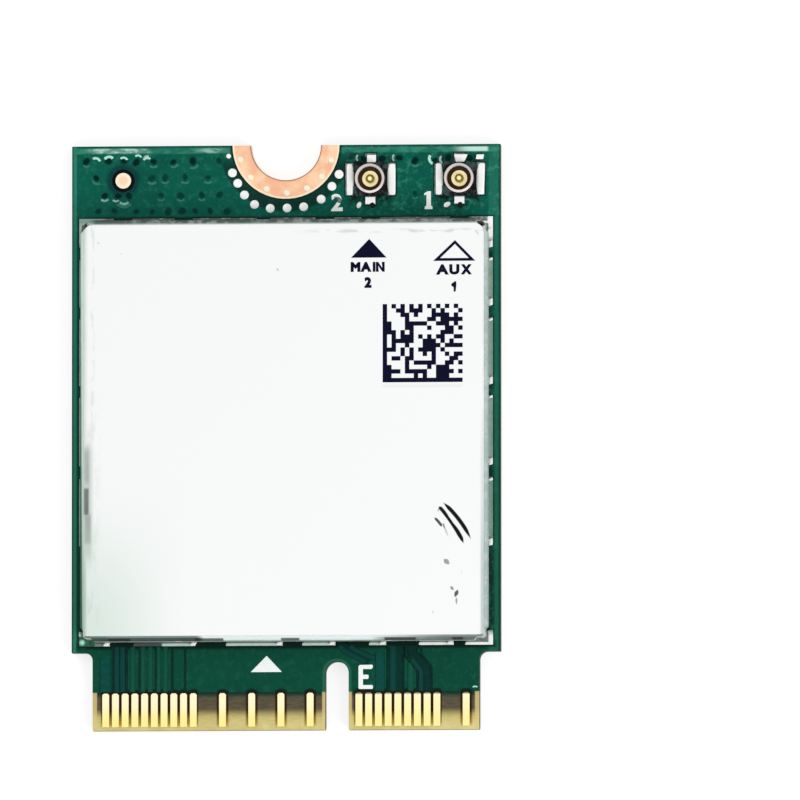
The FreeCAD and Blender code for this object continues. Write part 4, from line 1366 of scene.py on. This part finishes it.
class CARD_OT_label_print(bpy.types.Operator):
    """Print the label: port marks and a made-up square code"""

    bl_idname = "card.label_print"
    bl_label = "Label print"

    # Letters, as the letter, its sides, the row and the weight of its strokes.
    main_row, aux_row = (8.40, 8.81), (8.23, 8.67)
    letters = (
        ("M", (3.495, 3.90), main_row, 0.048), ("A", (4.02, 4.445), main_row, 0.048),
        ("I", (4.63, 4.67), main_row, 0.048), ("N", (4.79, 5.145), main_row, 0.048),
        ("2", (4.20, 4.47), (7.575, 8.035), 0.048),
        ("A", (7.895, 8.41), aux_row, 0.045), ("U", (8.55, 8.98), aux_row, 0.045),
        ("X", (9.165, 9.59), aux_row, 0.045),
    )
    code_x, code_y = (5.09, 9.19), (2.68, 6.69)

    def execute(self, context):
        colours, sizes = context.scene.card_colours, context.scene.card_sizes
        outline = flat_polygon((7.68, 8.89), (9.84, 8.89), (8.80, 9.95))
        outline.normal_update()
        bmesh.ops.inset_individual(outline, faces=list(outline.faces), thickness=0.14, use_even_offset=True)
        inner = [face for face in outline.faces if len(face.verts) == 3]
        bmesh.ops.delete(outline, geom=inner, context="FACES_ONLY")
        shapes = [
            flat_polygon((3.47, 9.08), (5.29, 9.08), (4.40, 10.04)),
            outline,
            flat_polygon(
                (8.73, 7.31), (8.83, 7.31), (8.87, 7.66), (8.86, 7.84), (8.79, 7.84), (8.61, 7.71),
                (8.605, 7.63), (8.67, 7.57), (8.73, 7.53),
            ),
            self.code(sizes.code_modules, random.Random(sizes.code_seed)),
        ]
        shapes += [lettering(*letter) for letter in self.letters]
        ink = finish_ink("label_ink", colours.ink, (0.012, 0.012, 0.05))
        shape = raise_flat(join(*shapes), LABEL_TOP - PRINT_SUNK, sizes.print_rise)
        add_piece("label_print", shape, ink, smooth=False)
        return {"FINISHED"}

    def code(self, count, dice):
        """Square code: two solid sides, two dotted ones and a random fill that says nothing."""
        shape = bmesh.new()
        bmesh.ops.create_grid(shape, x_segments=count, y_segments=count, size=0.5)
        empty = []
        for face in shape.faces:
            middle = face.calc_center_median()
            column = int((middle.x + 0.5) * count)
            row = int((middle.y + 0.5) * count)
            filled = dice.random() < 0.5
            if column == 0 or row == 0:
                filled = True
            elif row == count - 1:
                filled = column % 2 == 0
            elif column == count - 1:
                filled = row % 2 == 0
            if not filled:
                empty.append(face)
        fit(shape, self.code_x, self.code_y)
        bmesh.ops.delete(shape, geom=empty, context="FACES")
        return shape


class CARD_OT_radio(bpy.types.Operator):
    """Dress the radio parts under the can"""

    bl_idname = "card.radio"
    bl_label = "Radio parts"

    def execute(self, context):
        dress(finish_resin("chip_moulding", (0.02, 0.02, 0.023), (0.06, 0.06, 0.065)),
              "radio_chip", "front_end_main", "front_end_aux", "memory_chip")
        dress(finish_resin("tan_ceramic", (0.52, 0.38, 0.25), (0.66, 0.52, 0.38)),
              "capacitor_bodies", "crystal_case")
        dress(finish_resin("white_ceramic", (0.78, 0.80, 0.82), (0.90, 0.91, 0.92)), "antenna_filters")
        dress(finish_resin("dark_ferrite", (0.05, 0.05, 0.052), (0.12, 0.12, 0.12)), "inductor_cores")
        return {"FINISHED"}


class CARD_OT_stage(bpy.types.Operator):
    """Set the floor, the light and the camera"""

    bl_idname = "card.stage"
    bl_label = "Stage"

    # Lamps in metres: name, share of the key's power, place, size.
    lamps = (("key", 1.0, (0.16, -0.14, 0.17), 0.10), ("fill", 0.4, (-0.15, 0.12, 0.22), 0.16))
    # The floor lies just under the card, so that the two never share a plane.
    floor_reach, floor_drop = 0.6, 0.02 * MM

    def execute(self, context):
        scene, stage = context.scene, context.scene.card_stage
        self.add_floor(scene)
        self.add_tent(scene, stage)
        for name, share, place, size in self.lamps:
            self.add_lamp(scene, name, stage.key_power * share, place, size)
        self.add_camera(scene, stage)
        scene.view_settings.view_transform = "Standard"
        return {"FINISHED"}

    def add_floor(self, scene):
        """A pale floor that looks white and gives little light back."""
        shape = bmesh.new()
        bmesh.ops.create_grid(shape, x_segments=1, y_segments=1, size=self.floor_reach)
        move(shape, (0, 0, -self.floor_drop))
        mesh = bpy.data.meshes.new("floor")
        shape.to_mesh(mesh)
        shape.free()
        floor = bpy.data.objects.new("floor", mesh)
        scene.collection.objects.link(floor)
        paint = Finish("floor_paint")
        matt = paint.node("BsdfDiffuse", {"Color": (0.40, 0.40, 0.40, 1)})
        glow = paint.node("Emission", {"Color": (1, 1, 1, 1), "Strength": 0.72})
        white = paint.node("AddShader", {0: matt, 1: glow})
        shown = paint.node("MixShader", {0: paint.seen_directly(), 1: matt, 2: white})
        paint.node("OutputMaterial", {"Surface": shown})
        mesh.materials.append(paint.material)

    @staticmethod
    def add_tent(scene, stage):
        """Even light from all round, plain white where it is seen."""
        world = bpy.data.worlds.new("tent")
        scene.world = world
        world.use_nodes = True
        sky = Graph(world.node_tree)
        light = sky.node("Background", {"Color": (1, 1, 1, 1), "Strength": stage.tent})
        white = sky.node("Background", {"Color": (1, 1, 1, 1), "Strength": 1.0})
        shown = sky.node("MixShader", {0: sky.seen_directly(), 1: light, 2: white})
        sky.node("OutputWorld", {"Surface": shown})

    @staticmethod
    def add_lamp(scene, name, power, place, size):
        """A square lamp that faces the card."""
        lamp = bpy.data.lights.new(name, "AREA")
        lamp.energy = power
        lamp.size = size
        holder = bpy.data.objects.new(name, lamp)
        holder.location = place
        holder.rotation_euler = (-Vector(place)).to_track_quat("-Z", "Y").to_euler()
        scene.collection.objects.link(holder)

    @staticmethod
    def add_camera(scene, stage):
        """A long lens over the card, leaning a little to the right and the front."""
        camera = bpy.data.cameras.new("camera")
        camera.lens = stage.lens
        camera.sensor_width = 36
        camera.clip_start = 0.01
        holder = bpy.data.objects.new("camera", camera)
        aim = Vector((stage.aim_x, stage.aim_y, BOARD_TOP)) * MM
        back = Vector((math.tan(stage.lean_right), -math.tan(stage.lean_front), 1)).normalized()
        across = Vector((0, 1, 0)).cross(back).normalized()
        upward = back.cross(across)
        turn = Matrix((across, upward, back)).transposed()
        holder.matrix_world = Matrix.Translation(aim + back * stage.distance) @ turn.to_4x4()
        scene.collection.objects.link(holder)
        scene.camera = holder


class CARD_PT_looks(bpy.types.Panel):
    """The card's looks, step by step"""

    bl_idname = "CARD_PT_looks"
    bl_label = "Card"
    bl_space_type = "VIEW_3D"
    bl_region_type = "UI"
    bl_category = "Card"

    def draw(self, context):
        for operator in OPERATORS:
            self.layout.operator(operator.bl_idname)


GROUPS = {"card_colours": CardColours, "card_sizes": CardSizes, "card_stage": CardStage}
OPERATORS = (
    CARD_OT_board, CARD_OT_vias, CARD_OT_traces, CARD_OT_legend, CARD_OT_solder, CARD_OT_ports,
    CARD_OT_can, CARD_OT_label_print, CARD_OT_radio, CARD_OT_stage,
)


def register():
    for name, group in GROUPS.items():
        bpy.utils.register_class(group)
        setattr(bpy.types.Scene, name, PointerProperty(type=group))
    for operator in OPERATORS:
        bpy.utils.register_class(operator)
    bpy.utils.register_class(CARD_PT_looks)


def unregister():
    bpy.utils.unregister_class(CARD_PT_looks)
    for operator in reversed(OPERATORS):
        bpy.utils.unregister_class(operator)
    for name, group in reversed(list(GROUPS.items())):
        delattr(bpy.types.Scene, name)
        bpy.utils.unregister_class(group)


def main():
    register()
    bpy.ops.card.board()
    bpy.ops.card.vias()
    bpy.ops.card.traces()
    bpy.ops.card.legend()
    bpy.ops.card.solder()
    bpy.ops.card.ports()
    bpy.ops.card.can()
    bpy.ops.card.label_print()
    bpy.ops.card.radio()
    bpy.ops.card.stage()
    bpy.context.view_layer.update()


if __name__ == "__main__":
    main()
